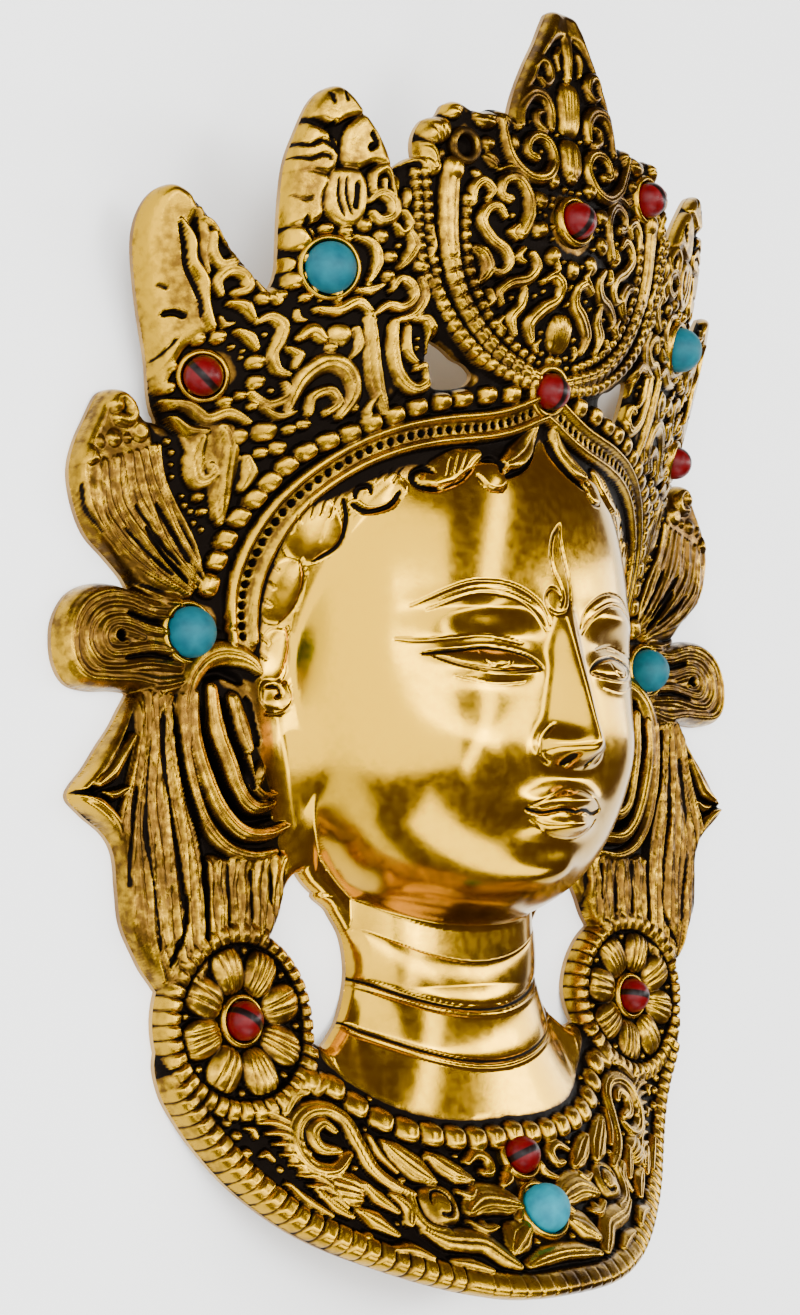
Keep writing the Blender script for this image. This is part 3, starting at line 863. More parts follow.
def carve_face(c):
    """Brows, lids, nose wings and lips, engraved on the plain thirds of the face."""
    c.engrave((
        ([(5.4, BROW_Y - 2.6), (9, BROW_Y + 3), (18, BROW_Y + 7.2), (29, BROW_Y + 7.2),
         (41, BROW_Y + 1.6)], 0.5, 0.34),
        ([(6.4, BROW_Y - 4), (11, BROW_Y + 0.6), (19, BROW_Y + 4.2), (28, BROW_Y + 4.4),
         (38, BROW_Y + 0.6)], 0.5, 0.34),
        ([(12, BROW_Y + 3), (20, BROW_Y + 5.8), (28, BROW_Y + 5.9), (36, BROW_Y + 2.9)], 0.32, 0.16),
        ([(EYE_X - 8, EYE_Y - 5.8), (EYE_X + 1, EYE_Y - 6.4), (EYE_X + 10, EYE_Y - 4.6)], 0.4, 0.18),
        ([(EYE_X - 3.4, EYE_Y + 1.8), (EYE_X - 3.2, EYE_Y - 1.4), (EYE_X, EYE_Y - 2.6),
         (EYE_X + 3.2, EYE_Y - 1.4), (EYE_X + 3.4, EYE_Y + 1.8)], 0.4, 0.25),
        ([(EYE_X - 14, EYE_Y - 2.4), (EYE_X - 7, EYE_Y - 3.4), (EYE_X + 1, EYE_Y - 3.6),
         (EYE_X + 8, EYE_Y - 2.2), (EYE_X + 14, EYE_Y + 0.4)], 0.55, 0.5),
        ([(7.6, NOSE_BASE_Y + 9.4), (10.8, NOSE_BASE_Y + 6), (11, NOSE_BASE_Y + 2.2),
         (8.6, NOSE_BASE_Y + 0.2)], 0.55, 0.5),
        ([(-0.6, MOUTH_Y + 4.8), (2.6, MOUTH_Y + 5.6), (8, MOUTH_Y + 3.6), (13.4, MOUTH_Y + 1.2)], 0.45,
         0.26),
        ([(-0.6, MOUTH_Y - 6.6), (6, MOUTH_Y - 5.6), (12.4, MOUTH_Y - 1.4)], 0.45, 0.26)))
    upper = [(EYE_X - 14, EYE_Y - 2.4), (EYE_X - 9, EYE_Y + 0.6), (EYE_X, EYE_Y + 2.4),
        (EYE_X + 8, EYE_Y + 1.6), (EYE_X + 16, EYE_Y + 0.8)]
    c.incise(upper, 0.65, 0.7)
    c.incise([(x, y + 3.2) for x, y in upper[1:]] + [(EYE_X + 21, EYE_Y + 4.6)], 0.5, 0.34)
    c.incise([(-0.6, MOUTH_Y), (4.4, MOUTH_Y + 0.6), (9.4, MOUTH_Y - 0.1), (13.6, MOUTH_Y + 1)], 0.65,
        0.8, taper=0.05)
    c.pit((4.2, NOSE_BASE_Y + 0.6), 1.4, 1.1)


def carve_forehead_curl(c):
    """A curl of two fine lines that ends in a small ring, above and between the brows."""
    foot = BROW_Y + 1
    c.incise([(0.6, foot + 23), (-2.6, foot + 19.6), (-4, foot + 15), (-3.2, foot + 10.6),
        (-1.4, foot + 7.4), (-1, foot + 4), (-2.2, foot + 1.4)], 0.5, 0.42)
    c.incise([(0.6, foot + 23), (0, foot + 19), (0.8, foot + 14), (1.9, foot + 9.6), (1.9, foot + 5),
        (0.2, foot + 0.8), (-3, foot - 0.6), (-6, foot + 0.8), (-6.6, foot + 4), (-4.4, foot + 6),
        (-2, foot + 4.8), (-1.9, foot + 2.4)], 0.55, 0.5)


def neck_ring(side_x, side_y, middle_y, start):
    """A line round the neck that hangs lower on the middle axis."""
    return [(x, middle_y + (side_y - middle_y) * (x / side_x) ** 2) for x in np.linspace(start, side_x, 9)]


def carve_neck(c):
    """Two soft rings, and a pair of engraved lines under each."""
    for side_x, side_y, middle_y, width in ((33, -74.4, -83.6, 5.4), (36.6, -86.2, -97.2, 5.8)):
        c.strand(neck_ring(side_x, side_y, middle_y, -6), width, 0.8)
    for side_x, side_y, middle_y in ((34.5, -80.6, -90.4), (38.8, -91.6, -103.6)):
        for shift, depth in ((0, 0.7), (1.6, 0.35)):
            c.incise(neck_ring(side_x, side_y - shift, middle_y - shift, -1), 0.6, depth, taper=0)


def carve_ground(c, rng, free):
    """Small commas and grains that fill what the larger ornaments leave of the ground."""
    zones = [((26, 56), (93, 118)), ((0, 66), (50, 134)), ((66, 20), (98, 84)), ((0, -152), (82, -106))]
    tries = 1500
    bare = 0.06
    for reach, is_comma in ((1.9, True), (1.1, False)):
        for low, high in zones:
            for x, y in rng.uniform(low, high, (tries, 2)):
                window = c.window((x - reach, y - reach), (x + reach, y + reach))
                if not c.z[window].size or c.z[window].max() > bare or not free[window].all():
                    continue
                if not is_comma:
                    c.boss((x, y), rng.uniform(0.7, 1.1), rng.uniform(1.0, 1.8))
                    continue
                turn = rng.uniform(0, 2 * pi)
                dx, dy = 1.6 * cos(turn), 1.6 * sin(turn)
                c.leaf([(x - dx, y - dy), (x - 0.6 * dy, y + 0.6 * dx), (x + dx, y + dy)],
                       [0.7, 1.2, 0.5], rng.uniform(1.4, 2.2), steps=4)


def setting_frame(x, y):
    """A setting's place on the sheet, turned so that its Z axis is the sheet's normal."""
    step = 2.0
    around_x = np.array([x + step, x - step, x, x, x])
    around_y = np.array([y, y, y + step, y - step, y])
    right, left, above, below, level = base_form(np.abs(around_x), around_y).tolist()
    normal = Vector((left - right, below - above, 2 * step)).normalized()
    turn = Vector((0, 0, 1)).rotation_difference(normal).to_matrix().to_4x4()
    return Matrix.Translation(Vector((x, y - MIDDLE_Y, level)) * UNIT) @ turn


def blur(field, radius):
    """A soft average; the radius is in layout units."""
    radius /= FINE_STEP
    reach = int(3 * radius) + 1
    weights = np.exp(-0.5 * (np.arange(-reach, reach + 1) / radius) ** 2)
    weights /= weights.sum()
    for _ in range(2):
        rows = len(field)
        padded = np.pad(field, ((reach, reach), (0, 0)), mode="edge")
        field = sum(weight * padded[k:k + rows] for k, weight in enumerate(weights)).T
    return field


def layered_noise(rng, shape, layers):
    """Seeded noise, each layer with its size of features in layout units and its strength."""
    total = np.zeros(shape)
    for size, strength in layers:
        noise = blur(rng.standard_normal(shape), size)
        total += noise / noise.std() / 2 * strength
    return total


# The most patina that ageing alone gives: brown, never black
BROWNEST = 0.42
# Where the brass has aged browner or brighter, finely lined work that stays brown, smooth carving that
# shines, and brown places on the smooth metal too: place, reach and share
AGED_SPOTS = (((100, 32), (20, 30), 0.36), ((104, 1), (22, 14), 0.34), ((94, -42), (22, 38), 0.3),
              ((70, -30), (14, 24), 0.1), ((66, 116), (14, 22), 0.02), ((100, 90), (10, 30), 0.05),
              ((30, 96), (28, 26), 0.16), ((0, 132), (28, 34), 0.28), ((70, -90), (20, 20), 0.06),
              ((30, -134), (50, 24), -0.08), ((70, 60), (30, 18), 0.08), ((68, -60), (14, 14), 0.3),
              ((56, 42), (30, 20), 0.1), ((14, 150), (14, 20), 0.22), ((0, 82), (7, 8), -0.3),
              ((26, 124), (16, 10), 0.14))
LINED_SPOTS = (((104, 33), (20, 26), 1), ((106, 1), (20, 14), 1), ((94, -46), (16, 40), 1),
               ((68, -60), (14, 12), 1))
PLAIN_SPOTS = (((99, 90), (8, 22), 0.6), ((116, 36), (6, 20), 0.6), ((112, -34), (10, 7), 0.9),
               ((72, 108), (9, 20), 0.7), ((60, -134), (30, 16), 0.5), ((107, -56), (3, 16), 0.6))
BROWN_SPOTS = (((65, -24), (7, 20), 0.32), ((10, -64), (44, 13), 0.22), ((10, -80), (40, 8), 0.26),
               ((30, -92), (20, 12), 0.12), ((64, 6), (5, 40), 0.1))
# Places where the sheet's forms run softly into each other: the nose's foot and the jaw
SOFT_PLACES = (((0, -28), (13, 11), 1.5), ((57, -34), (9, 24), 4.4))
# Free ground around each stone, and along the outline
STONE_CLEARANCE = 6.6
EDGE_CLEARANCE = 2.4
# Blur that tells a narrow groove from its surroundings, one for whole flanks, and one for the skin's edge
NARROW = 0.9
WIDE = 2.4
SKIN_EDGE = 0.8
# Carving from this height up isn't skin, and from the next one up its grain is worn down
RAISED = 1.9
WORN = 2.2
WORN_GRAIN = 0.45
# Layers of noise on the surface and in its patina: size of the features and strength
GRAIN = ((0.9, 0.10), (3.0, 0.12))
WAVES = ((7, 0.10),)
BLOTCHES = ((2.2, 0.10), (6, 0.08))


def distance_in_reaches(x, y, centre, reach):
    return np.hypot((x - centre[0]) / reach[0], (y - centre[1]) / reach[1])


def spot_shares(spots, x, y):
    """Soft spots added up; each fades out at about its reach."""
    return sum(share * np.clip(1.6 - 1.3 * distance_in_reaches(x, y, centre, reach), 0, 1)
               for centre, reach, share in spots)


def skin_area(x, y):
    """1 on the smooth face and neck, 0 on the carved work."""
    return (signed_distance(x, y, spline(SKIN), 3.0) < 0).astype(float)


def carved_half(x, y, edge, skin, rng):
    """Everything that is carved on the right half."""
    carving = Carving(x, y)
    for carve in (carve_middle_leaf, carve_arch, carve_tendrils, carve_inner_leaf, carve_outer_leaf,
                  carve_crown_foot, carve_hair, carve_diadem, carve_side_leaf, carve_ribbon_knot,
                  carve_hanging_ribbon, carve_ear, carve_rosette, carve_collar, carve_rim, carve_face,
                  carve_neck):
        carve(carving)
    from_stones = np.min([np.hypot(x - sx, y - sy) for sx, sy in STONES.values()], axis=0)
    carve_ground(carving, rng, (edge < -EDGE_CLEARANCE) & (skin < 0.5) & (from_stones > STONE_CLEARANCE))
    return carving


def softened_sheet(x, y):
    sheet = sheet_form(x, y)
    for centre, reach, softness in SOFT_PLACES:
        share = np.clip(1.6 - distance_in_reaches(x, y, centre, reach), 0, 1)
        sheet += (blur(sheet, softness) - sheet) * share
    return sheet


def rounded_edge(x, y, edge, z):
    """Lets the height fall to the rim in a quarter round near the outline."""
    rounding = EDGE_ROUNDING / UNIT
    near = edge > -rounding - 0.5
    rim = np.zeros(x.shape)
    rim[near] = back_form(x[near], y[near]) + EDGE_LEVEL * WALL / UNIT
    inward = np.clip(-edge / rounding, 0, 1)
    return np.where(near, rim + (z - rim) * np.sqrt(1 - (1 - inward) ** 2), z)


def worn_finish(x, y, edge, carving, relief, smooth, blotches):
    """Patina and polish, worked out from the relief and from the places that have aged."""
    carved = relief - carving.cut
    cavity = blur(carved, NARROW) - carved
    flank = blur(carved, WIDE) - carved
    carved_around = np.clip(blur(carving.z, WIDE) / 0.75, 0, 1)
    worn_edge = np.clip((-edge - 1.0) / 3.0, 0, 1)
    ground = np.clip(1 - carving.z / 1.1, 0, 1) * (1 - smooth) * carved_around * (0.25 + 0.75 * worn_edge)
    soft = 1 - 0.55 * np.clip(spot_shares(LINED_SPOTS, x, y), 0, 1)
    patina = (soft * (np.clip(cavity * 0.55, 0, 1) + np.clip(cavity - 0.7, 0, 1) * 0.8
                      + np.clip(0.36 * flank + 0.18, 0, 0.6) * carved_around * (1 - smooth)
                      + 0.85 * ground)
              + np.clip(carving.cut * 1.3 - 0.3, 0, 1))
    aged = (spot_shares(AGED_SPOTS, x, y) + blotches) * (1 - smooth) + spot_shares(BROWN_SPOTS, x, y)
    patina = np.maximum(np.minimum(patina, patina + aged), np.minimum(patina + aged, BROWNEST))
    worn = np.clip(-0.5 * flank - 0.15, 0, 0.55) * carved_around
    shining = 0.6 * spot_shares(PLAIN_SPOTS, x, y) * np.clip(carving.z - 0.8, 0, 1)
    return np.clip(patina, 0, 1), np.clip(np.maximum(smooth, worn + shining), 0, 1)


def fine_fields():
    """Plan, height, patina and polish of the right half's front on the fine grid."""
    margin = 2
    x, y = np.meshgrid(np.arange(0, HALF_WIDTH, FINE_STEP),
                       np.arange(COLLAR_BOTTOM - margin, CROWN_TOP + margin, FINE_STEP))
    rng = np.random.default_rng(SEED)
    edge = outline_distance(x, y)
    skin = skin_area(x, y)
    carving = carved_half(x, y, edge, skin, rng)
    relief = carving.z * (CARVING_HEIGHT / UNIT / CARVING_LAYOUT_HEIGHT)
    smooth = blur(skin * (carving.z < RAISED), SKIN_EDGE)
    grain = layered_noise(rng, x.shape, GRAIN) * (1 - smooth) * np.where(carving.z > WORN, WORN_GRAIN, 1)
    waves = layered_noise(rng, x.shape, WAVES)
    z = rounded_edge(x, y, edge, softened_sheet(x, y) + relief - carving.cut + grain + waves)
    blotches = layered_noise(rng, x.shape, BLOTCHES)
    return x, y, edge, z, *worn_finish(x, y, edge, carving, relief, smooth, blotches)


class Finish:
    """A material and its nodes; a socket, a colour or a number may feed any input."""

    def __init__(self, name):
        self.material = bpy.data.materials.new(name)
        self.material.use_nodes = True
        self.shader = self.material.node_tree.nodes["Principled BSDF"]

    def feed(self, node, inputs):
        for key, value in inputs.items():
            socket = node.inputs[key]
            if isinstance(value, bpy.types.NodeSocket):
                self.material.node_tree.links.new(value, socket)
            else:
                socket.default_value = (*value, 1) if isinstance(value, tuple) else value

    def add(self, kind, output, inputs, **settings):
        """A new node, fed and set; returns one of its outputs."""
        node = self.material.node_tree.nodes.new(kind)
        for key, value in settings.items():
            setattr(node, key, value)
        self.feed(node, inputs)
        return node.outputs[output]

    def place(self):
        return self.add("ShaderNodeTexCoord", "Object", {})

    def value_of(self, name):
        """A value that the mesh holds at its points."""
        return self.add("ShaderNodeAttribute", "Fac", {}, attribute_name=name)

    def noise(self, scale, detail):
        return self.add("ShaderNodeTexNoise", "Fac",
                        {"Vector": self.place(), "Scale": scale, "Detail": detail})

    def stretch(self, value, low, high, interpolation="LINEAR"):
        """0 at low, 1 at high."""
        return self.add("ShaderNodeMapRange", "Result", {"Value": value, "From Min": low, "From Max": high},
                        interpolation_type=interpolation)

    def blend(self, share, first, second):
        """A number between two numbers."""
        return self.add("ShaderNodeMapRange", "Result", {"Value": share, "To Min": first, "To Max": second})

    def mix(self, share, first, second):
        """A colour between two colours."""
        return self.add("ShaderNodeMix", 2, {0: share, 6: first, 7: second}, data_type="RGBA")

    def multiply_add(self, first, second, third):
        return self.add("ShaderNodeMath", 0, {0: first, 1: second, 2: third}, operation="MULTIPLY_ADD")

    def bump(self, height, distance, strength):
        return self.add("ShaderNodeBump", "Normal", {"Height": height, "Distance": distance,
                                                     "Strength": strength})

    def finished(self, inputs):
        """Feeds the shader itself."""
        self.feed(self.shader, inputs)
        return self.material


POLISHED = (0.45, 0.252, 0.0022)
AGED = (0.34, 0.195, 0.006)
TARNISH = (0.074, 0.036, 0.005)
BLACKENED = (0.0045, 0.0032, 0.0024)
BACK_BRIGHT = (0.42, 0.27, 0.09)
BACK_DULL = (0.16, 0.09, 0.04)
DEEP_TURQUOISE = (0.0005, 0.056, 0.080)
PALE_TURQUOISE = (0.002, 0.096, 0.125)
DEEP_RED = (0.062, 0.0006, 0.0015)
PALE_RED = (0.10, 0.0015, 0.003)
DRILLED_LINE = (0.004, 0.001, 0.001)
PALE_FLOOR = (0.93, 0.955, 0.965)


def brass_material():
    """Polished brass on the face, aged brass on the carving, black patina in its depths."""
    brass = Finish("antique_brass")
    patina, polish = brass.value_of("patina"), brass.value_of("polish")
    clouds = brass.stretch(brass.noise(60.0, 5.0), 0.35, 0.7)
    specks = brass.stretch(brass.noise(420.0, 3.0), 0.35, 0.65)
    mottled = brass.multiply_add(specks, brass.blend(polish, 1.0, 0.06), 0.0)
    shade = brass.multiply_add(mottled, 0.38, brass.multiply_add(clouds, 0.26, patina))
    brown = brass.stretch(shade, 0.18, 0.74, "SMOOTHSTEP")
    dark = brass.stretch(brass.multiply_add(specks, 0.14, patina), 0.46, 0.72, "SMOOTHSTEP")
    tarnished = brass.mix(brown, brass.mix(polish, AGED, POLISHED), TARNISH)
    rough = brass.multiply_add(specks, 0.06, brass.blend(polish, 0.27, 0.14))
    return brass.finished({
        "Base Color": brass.mix(dark, tarnished, BLACKENED),
        "Metallic": 1.0,
        "Roughness": brass.add("ShaderNodeMix", 0, {0: dark, 2: rough, 3: 0.62}),
        "Normal": brass.bump(brass.noise(900.0, 3.0), 0.0002, brass.blend(polish, 0.45, 0.04))})


def back_material():
    """The unpolished inside of the casting."""
    brass = Finish("antique_brass_back")
    clouds = brass.stretch(brass.noise(38.0, 5.0), 0.38, 0.66)
    return brass.finished({
        "Base Color": brass.mix(clouds, BACK_BRIGHT, BACK_DULL),
        "Metallic": 0.9,
        "Roughness": brass.blend(clouds, 0.42, 0.62),
        "Normal": brass.bump(brass.noise(520.0, 5.0), 0.0004, 0.6)})


def turquoise_material(name, strength):
    """Matt turquoise; strength sets how bright it is."""
    stone = Finish(name)
    clouds = stone.stretch(stone.noise(260.0, 4.0), 0.35, 0.7)
    deep, pale = (tuple(strength * part for part in colour) for colour in (DEEP_TURQUOISE, PALE_TURQUOISE))
    return stone.finished({
        "Base Color": stone.mix(clouds, deep, pale),
        "Roughness": stone.blend(clouds, 0.50, 0.62),
        "Normal": stone.bump(clouds, 0.00005, 0.2),
        "Specular IOR Level": 0.15})


def red_material():
    """Red bead with the dark line of its drilled hole across it."""
    stone = Finish("red_stone")
    clouds = stone.stretch(stone.noise(300.0, 3.0), 0.35, 0.7)
    across = stone.add("ShaderNodeSeparateXYZ", "Y", {0: stone.place()})
    from_line = stone.add("ShaderNodeMath", 0, {0: across}, operation="ABSOLUTE")
    line = stone.stretch(from_line, 0.0011, 0.0006, "SMOOTHSTEP")
    return stone.finished({
        "Base Color": stone.mix(line, stone.mix(clouds, DEEP_RED, PALE_RED), DRILLED_LINE),
        "Roughness": stone.blend(clouds, 0.30, 0.40),
        "Specular IOR Level": 0.12})


def add_object(name, data):
    thing = bpy.data.objects.new(name, data)
    bpy.context.scene.collection.objects.link(thing)
    return thing


def add_piece(name, mesh, material, nodes):
    piece = add_object(name, mesh)
    mesh.materials.append(material)
    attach(piece, "root")
    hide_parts(*nodes)
    return piece


def new_mesh(name, places, faces):
    mesh = bpy.data.meshes.new(name)
    mesh.from_pydata(places, [], faces)
    mesh.shade_smooth()
    return mesh


def write_values(mesh, name, values):
    """Gives each of the mesh's points its value."""
    attribute = mesh.attributes.new(name, "FLOAT", "POINT")
    attribute.data.foreach_set("value", values.astype(np.float32))


def both_sides(field, sign=1):
    """A right-half field with its mirror image to the left of it."""
    return np.concatenate([sign * field[:, :0:-1], field], axis=1)


def whole_front():
    """The fine front of both halves: plan on the outline where cells cross it, height and finishes."""
    x, y, edge, z, patina, polish = fine_fields()
    curl = Carving(both_sides(x, -1), both_sides(y))
    carve_forehead_curl(curl)
    slope_y, slope_x = np.gradient(edge, FINE_STEP)
    steep = np.maximum(np.hypot(slope_x, slope_y), 0.5) ** 2
    outside = edge > 0
    x = np.where(outside, x - edge * slope_x / steep, x)
    y = np.where(outside, y - edge * slope_y / steep, y)
    x[:, 0] = 0
    y, edge, z, patina, polish = (both_sides(field) for field in (y, edge, z, patina, polish))
    patina = np.maximum(patina, np.clip(0.9 * curl.cut, 0, 1))
    return both_sides(x, -1), y, edge, z - curl.cut, patina, polish


REGION_NAMES = ("crown_left", "crown_right", "side_left", "side_right", "face", "neck", "collar")
CROWN_FOOT = 44
NECK_TOP = -58
COLLAR_TOP = -112
MIDDLE_REACH = 50


def region_of(x, y):
    """Which piece a cell belongs to, as its number among the names."""
    right = x > 0
    middle = np.where(y > NECK_TOP, 4, 5)
    region = np.where(np.abs(x) < MIDDLE_REACH, middle, np.where(right, 3, 2))
    region = np.where(y > CROWN_FOOT, np.where(right, 1, 0), region)
    return np.where(y < COLLAR_TOP, 6, region)


def in_metres(places):
    """Layout places with the origin under the middle of the whole mask."""
    return ((places - (0, MIDDLE_Y, 0)) * UNIT).tolist()


def cell_corners(field):
    """The four corners of every cell, in order around it."""
    return np.stack([field[:-1, :-1], field[:-1, 1:], field[1:, 1:], field[1:, :-1]], -1)


def smooth_normals(x, y, z):
    slope_y, slope_x = np.gradient(z)
    least_run = FINE_STEP * 0.4
    run_x, run_y = np.gradient(x, axis=1), np.gradient(y, axis=0)
    run_x, run_y = (np.where(np.abs(run) < least_run, least_run, run) for run in (run_x, run_y))
    normals = np.stack([-(slope_x / run_x).ravel(), -(slope_y / run_y).ravel(), np.ones(x.size)], 1)
    return normals / np.linalg.norm(normals, axis=1)[:, None]


def front_pieces(material):
    """The carved front, in pieces that share their edges; returns the outline's edges and all places."""
    x, y, edge, z, patina, polish = whole_front()
    used = (cell_corners(edge) < 0).any(-1) & (cell_corners(edge) < 1.6 * FINE_STEP).all(-1)
    quads = cell_corners(np.arange(x.size).reshape(x.shape))[used]
    places = np.stack([x.ravel(), y.ravel(), z.ravel()], 1)
    normals = smooth_normals(x, y, z)
    regions = region_of(*places[quads].mean(1)[:, :2].T)
    for number, name in enumerate(REGION_NAMES):
        points, faces = np.unique(quads[regions == number], return_inverse=True)
        mesh = new_mesh(name, in_metres(places[points]), faces.reshape(-1, 4).tolist())
        write_values(mesh, "patina", patina.ravel()[points])
        write_values(mesh, "polish", polish.ravel()[points])
        mesh.normals_split_custom_set_from_vertices(normals[points].tolist())
        add_piece(name, mesh, material, ["brass_casting"])
    sides = dict.fromkeys(map(tuple, np.stack([quads, np.roll(quads, -1, 1)], -1).reshape(-1, 2).tolist()))
    return [(a, b) for a, b in sides if (b, a) not in sides], places


def back_piece(rim, front, material):
    """The back of the sheet and the narrow wall around it."""
    reach = HALF_WIDTH - 2
    least_inside = 0.8
    corners = sorted({corner for pair in rim for corner in pair})
    number = {corner: i for i, corner in enumerate(corners)}
    x, y = np.meshgrid(np.arange(-reach, reach + 1, BACK_STEP),
                       np.arange(COLLAR_BOTTOM, CROWN_TOP, BACK_STEP))
    kept = outline_distance(np.abs(x), y) < -least_inside
    inner = np.stack([x[kept], y[kept]], 1)
    plan = [Vector(place) for place in np.vstack([front[corners, :2], inner])]
    result = delaunay_2d_cdt(plan, [(number[a], number[b]) for a, b in rim], [], 0, 1e-7)
    points = np.array([tuple(point) for point in result[0]])
    faces = np.array([face for face in result[2] if len(face) == 3])
    centre = points[faces].mean(1)
    faces = faces[outline_distance(np.abs(centre[:, 0]), centre[:, 1]) < 0.02]
    a, b, c = (points[faces[:, k]] for k in range(3))
    turn = (b - a)[:, 0] * (c - a)[:, 1] - (c - a)[:, 0] * (b - a)[:, 1]
    faces = np.where((turn > 0)[:, None], faces[:, ::-1], faces)
    home = {source: position for position, sources in enumerate(result[3]) for source in sources}
    count = len(points)
    walls = [(count + number[b], count + number[a], home[number[a]], home[number[b]]) for a, b in rim]
    places = np.vstack([np.column_stack([points, back_form(*points.T)]), front[corners]])
    mesh = new_mesh("back_of_casting", in_metres(places), faces.tolist() + walls)
    mesh.set_sharp_from_angle(angle=radians(40))
    add_piece("back_of_casting", mesh, material, ["brass_casting"])


def lathe(name, profile, closed=False):
    """A turned mesh from radius and height pairs; an open profile is capped at both ends."""
    sides = 48
    vertices = [(r * cos(2 * pi * k / sides), r * sin(2 * pi * k / sides), z) for r, z in profile
                for k in range(sides)]
    count = len(profile)
    faces = []
    for i in range(count if closed else count - 1):
        low, high = i * sides, (i + 1) % count * sides
        faces += [(low + k, low + (k + 1) % sides, high + (k + 1) % sides, high + k) for k in range(sides)]
    if not closed:
        faces += [tuple((count - 1) * sides + k for k in range(sides)), tuple(reversed(range(sides)))]
    mesh = new_mesh(name, vertices, faces)
    mesh.set_sharp_from_angle(angle=radians(50))
    return mesh


LOST_STONE = "arch_end_red_left"
# How each red stone's drilled line lies, in degrees
STONE_TURNS = {"rosette_red_left": -38, "outer_leaf_red_left": -40, "collar_red": 10, "forehead_stone": 70,
               "arch_end_red_right": -60, "rosette_red_right": -15, "outer_leaf_red_right": -70,
               "diadem_stone": 85}
HEAVY_WALL = 0.0019
LOST_STONE_NARROWING = 0.0024
BEZEL_FLARE = 0.0003


def add_bezel(name, place, radius, brass):
    """A setting's cup; the one that has lost its stone is narrower and darker."""
    lost = name == LOST_STONE
    inner = radius + STONE_GAP - (LOST_STONE_NARROWING if lost else 0)
    outer = inner + (HEAVY_WALL if lost or name == "diadem_stone" else BEZEL_WALL)
    low, high = -SEAT_DEPTH - SEAT_FLOOR, BEZEL_HEIGHT
    soft = 0.35 * BEZEL_WALL
    ring = [(inner, low), (inner, high - soft), (inner + soft, high), (outer - soft, high),
            (outer, high - soft), (outer + BEZEL_FLARE, high * 0.45), (outer + 2 * BEZEL_FLARE, low)]
    mesh = lathe("bezel_" + name, ring, closed=True)
    for label, value in (("patina", 0.5 if lost else 0.12), ("polish", 0.35)):
        write_values(mesh, label, np.full(len(mesh.vertices), value))
    bezel = add_piece("bezel_" + name, mesh, brass, ["brass_casting"])
    bezel.matrix_world = place


def add_bead(name, place, radius, material):
    """A stone: a round bead down to its seat."""
    rings = 22
    start = asin((STONE_GAP - SEAT_DEPTH - STONE_RISE) / radius)
    angles = [start + (pi / 2 - start) * i / rings for i in range(rings)]
    profile = [(radius * cos(angle), STONE_RISE + radius * sin(angle)) for angle in angles]
    stone = add_piece(name + "_bead", lathe(name + "_bead", profile), material, [name])
    stone.matrix_world = place @ Matrix.Rotation(radians(STONE_TURNS.get(name, 0)), 4, "Z")


def add_stones(brass):
    """The stones and the bezel cups that hold them; the left end of the arch keeps an empty cup."""
    turquoise = turquoise_material("turquoise", 1.0)
    bright_turquoise = turquoise_material("bright_turquoise", 2.0)
    red = red_material()
    for name, (x, y) in STONES.items():
        radius, material, slot = RED_DIAMETER / 2, red, "red_stone"
        if "turquoise" in name:
            radius, material, slot = TURQUOISE_DIAMETER / 2, turquoise, "turquoise"
        if name == "collar_turquoise":
            material = bright_turquoise
        for side, ending in ((1, "_right"), (-1, "_left")) if x else ((1, ""),):
            place = setting_frame(side * x, y)
            add_bezel(name + ending, place, radius, brass)
            if name + ending != LOST_STONE:
                add_bead(name + ending, place, radius, material)


def add_floor():
    reach = 3.0
    corners = [(-reach, -reach, 0), (reach, -reach, 0), (reach, reach, 0), (-reach, reach, 0)]
    mesh = bpy.data.meshes.new("floor")
    mesh.from_pydata(corners, [], [(0, 1, 2, 3)])
    floor = add_object("floor", mesh)
    mesh.materials.append(Finish("pale_floor").finished({"Base Color": PALE_FLOOR, "Roughness": 0.7}))


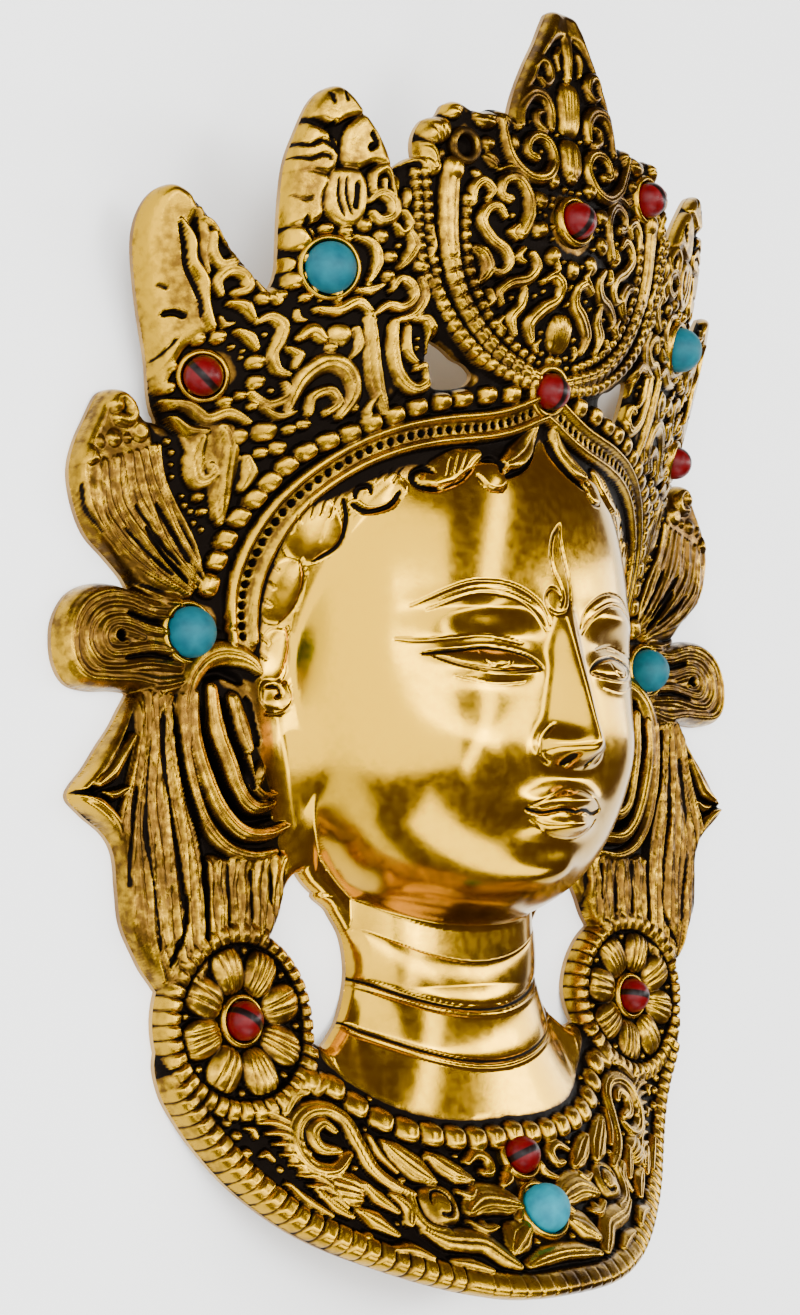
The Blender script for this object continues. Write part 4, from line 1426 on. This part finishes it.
# The studio's lamps: place in metres, width and length, power in watts
LAMPS = {
    "left_softbox": ((-1.35, 0.1, 0.95), (1.9, 2.4), 76),
    "top_strip_left": ((-0.46, 0.1, 1.5), (0.28, 2.2), 22),
    "top_strip_right": ((0.06, 0.1, 1.55), (0.26, 2.2), 20),
    "right_strip": ((0.80, 0.1, 1.25), (0.24, 1.8), 15),
    "low_right_strip": ((1.35, 0.2, 0.70), (0.26, 1.6), 12),
    "front_softbox": ((-0.3, -1.4, 0.8), (1.6, 0.6), 22),
}
LAMP_TARGET = (0, 0, 0.03)
ROOM_COLOUR = (0.95, 0.58, 0.27, 1)
ROOM_STRENGTH = 0.19


def add_studio():
    world = bpy.data.worlds.new("studio")
    bpy.context.scene.world = world
    world.use_nodes = True
    background = world.node_tree.nodes["Background"]
    background.inputs["Color"].default_value = ROOM_COLOUR
    background.inputs["Strength"].default_value = ROOM_STRENGTH
    for name, (place, (width, length), power) in LAMPS.items():
        data = bpy.data.lights.new(name, "AREA")
        data.shape = "RECTANGLE"
        data.size, data.size_y = width, length
        data.energy = power
        lamp = add_object(name, data)
        lamp.location = place
        lamp.rotation_euler = (Vector(LAMP_TARGET) - Vector(place)).to_track_quat("-Z", "Y").to_euler()


# The solved camera: focal length and height in pixels, place in metres, and the way it looks
FOCAL_LENGTH = 2280
PICTURE_HEIGHT = 1315
SENSOR_SIZE = 36
CAMERA_PLACE = (-0.42655, -0.07147, 0.43513)
CAMERA_AHEAD = (0.68764491, 0.11747611, -0.71648017)
CAMERA_UP = (-0.05921313, 0.99260996, 0.10592107)


def add_camera():
    data = bpy.data.cameras.new("camera")
    data.sensor_width = SENSOR_SIZE
    data.sensor_fit = "AUTO"
    data.lens = SENSOR_SIZE * FOCAL_LENGTH / PICTURE_HEIGHT
    data.clip_start = 0.01
    camera = add_object("camera", data)
    back = -Vector(CAMERA_AHEAD).normalized()
    right = Vector(CAMERA_UP).cross(back).normalized()
    turn = Matrix((right, back.cross(right), back)).transposed().to_4x4()
    camera.matrix_world = Matrix.Translation(CAMERA_PLACE) @ turn
    bpy.context.scene.camera = camera


def main():
    brass = brass_material()
    rim, front = front_pieces(brass)
    back_piece(rim, front, back_material())
    add_stones(brass)
    add_floor()
    add_studio()
    add_camera()
    bpy.context.view_layer.update()


main()
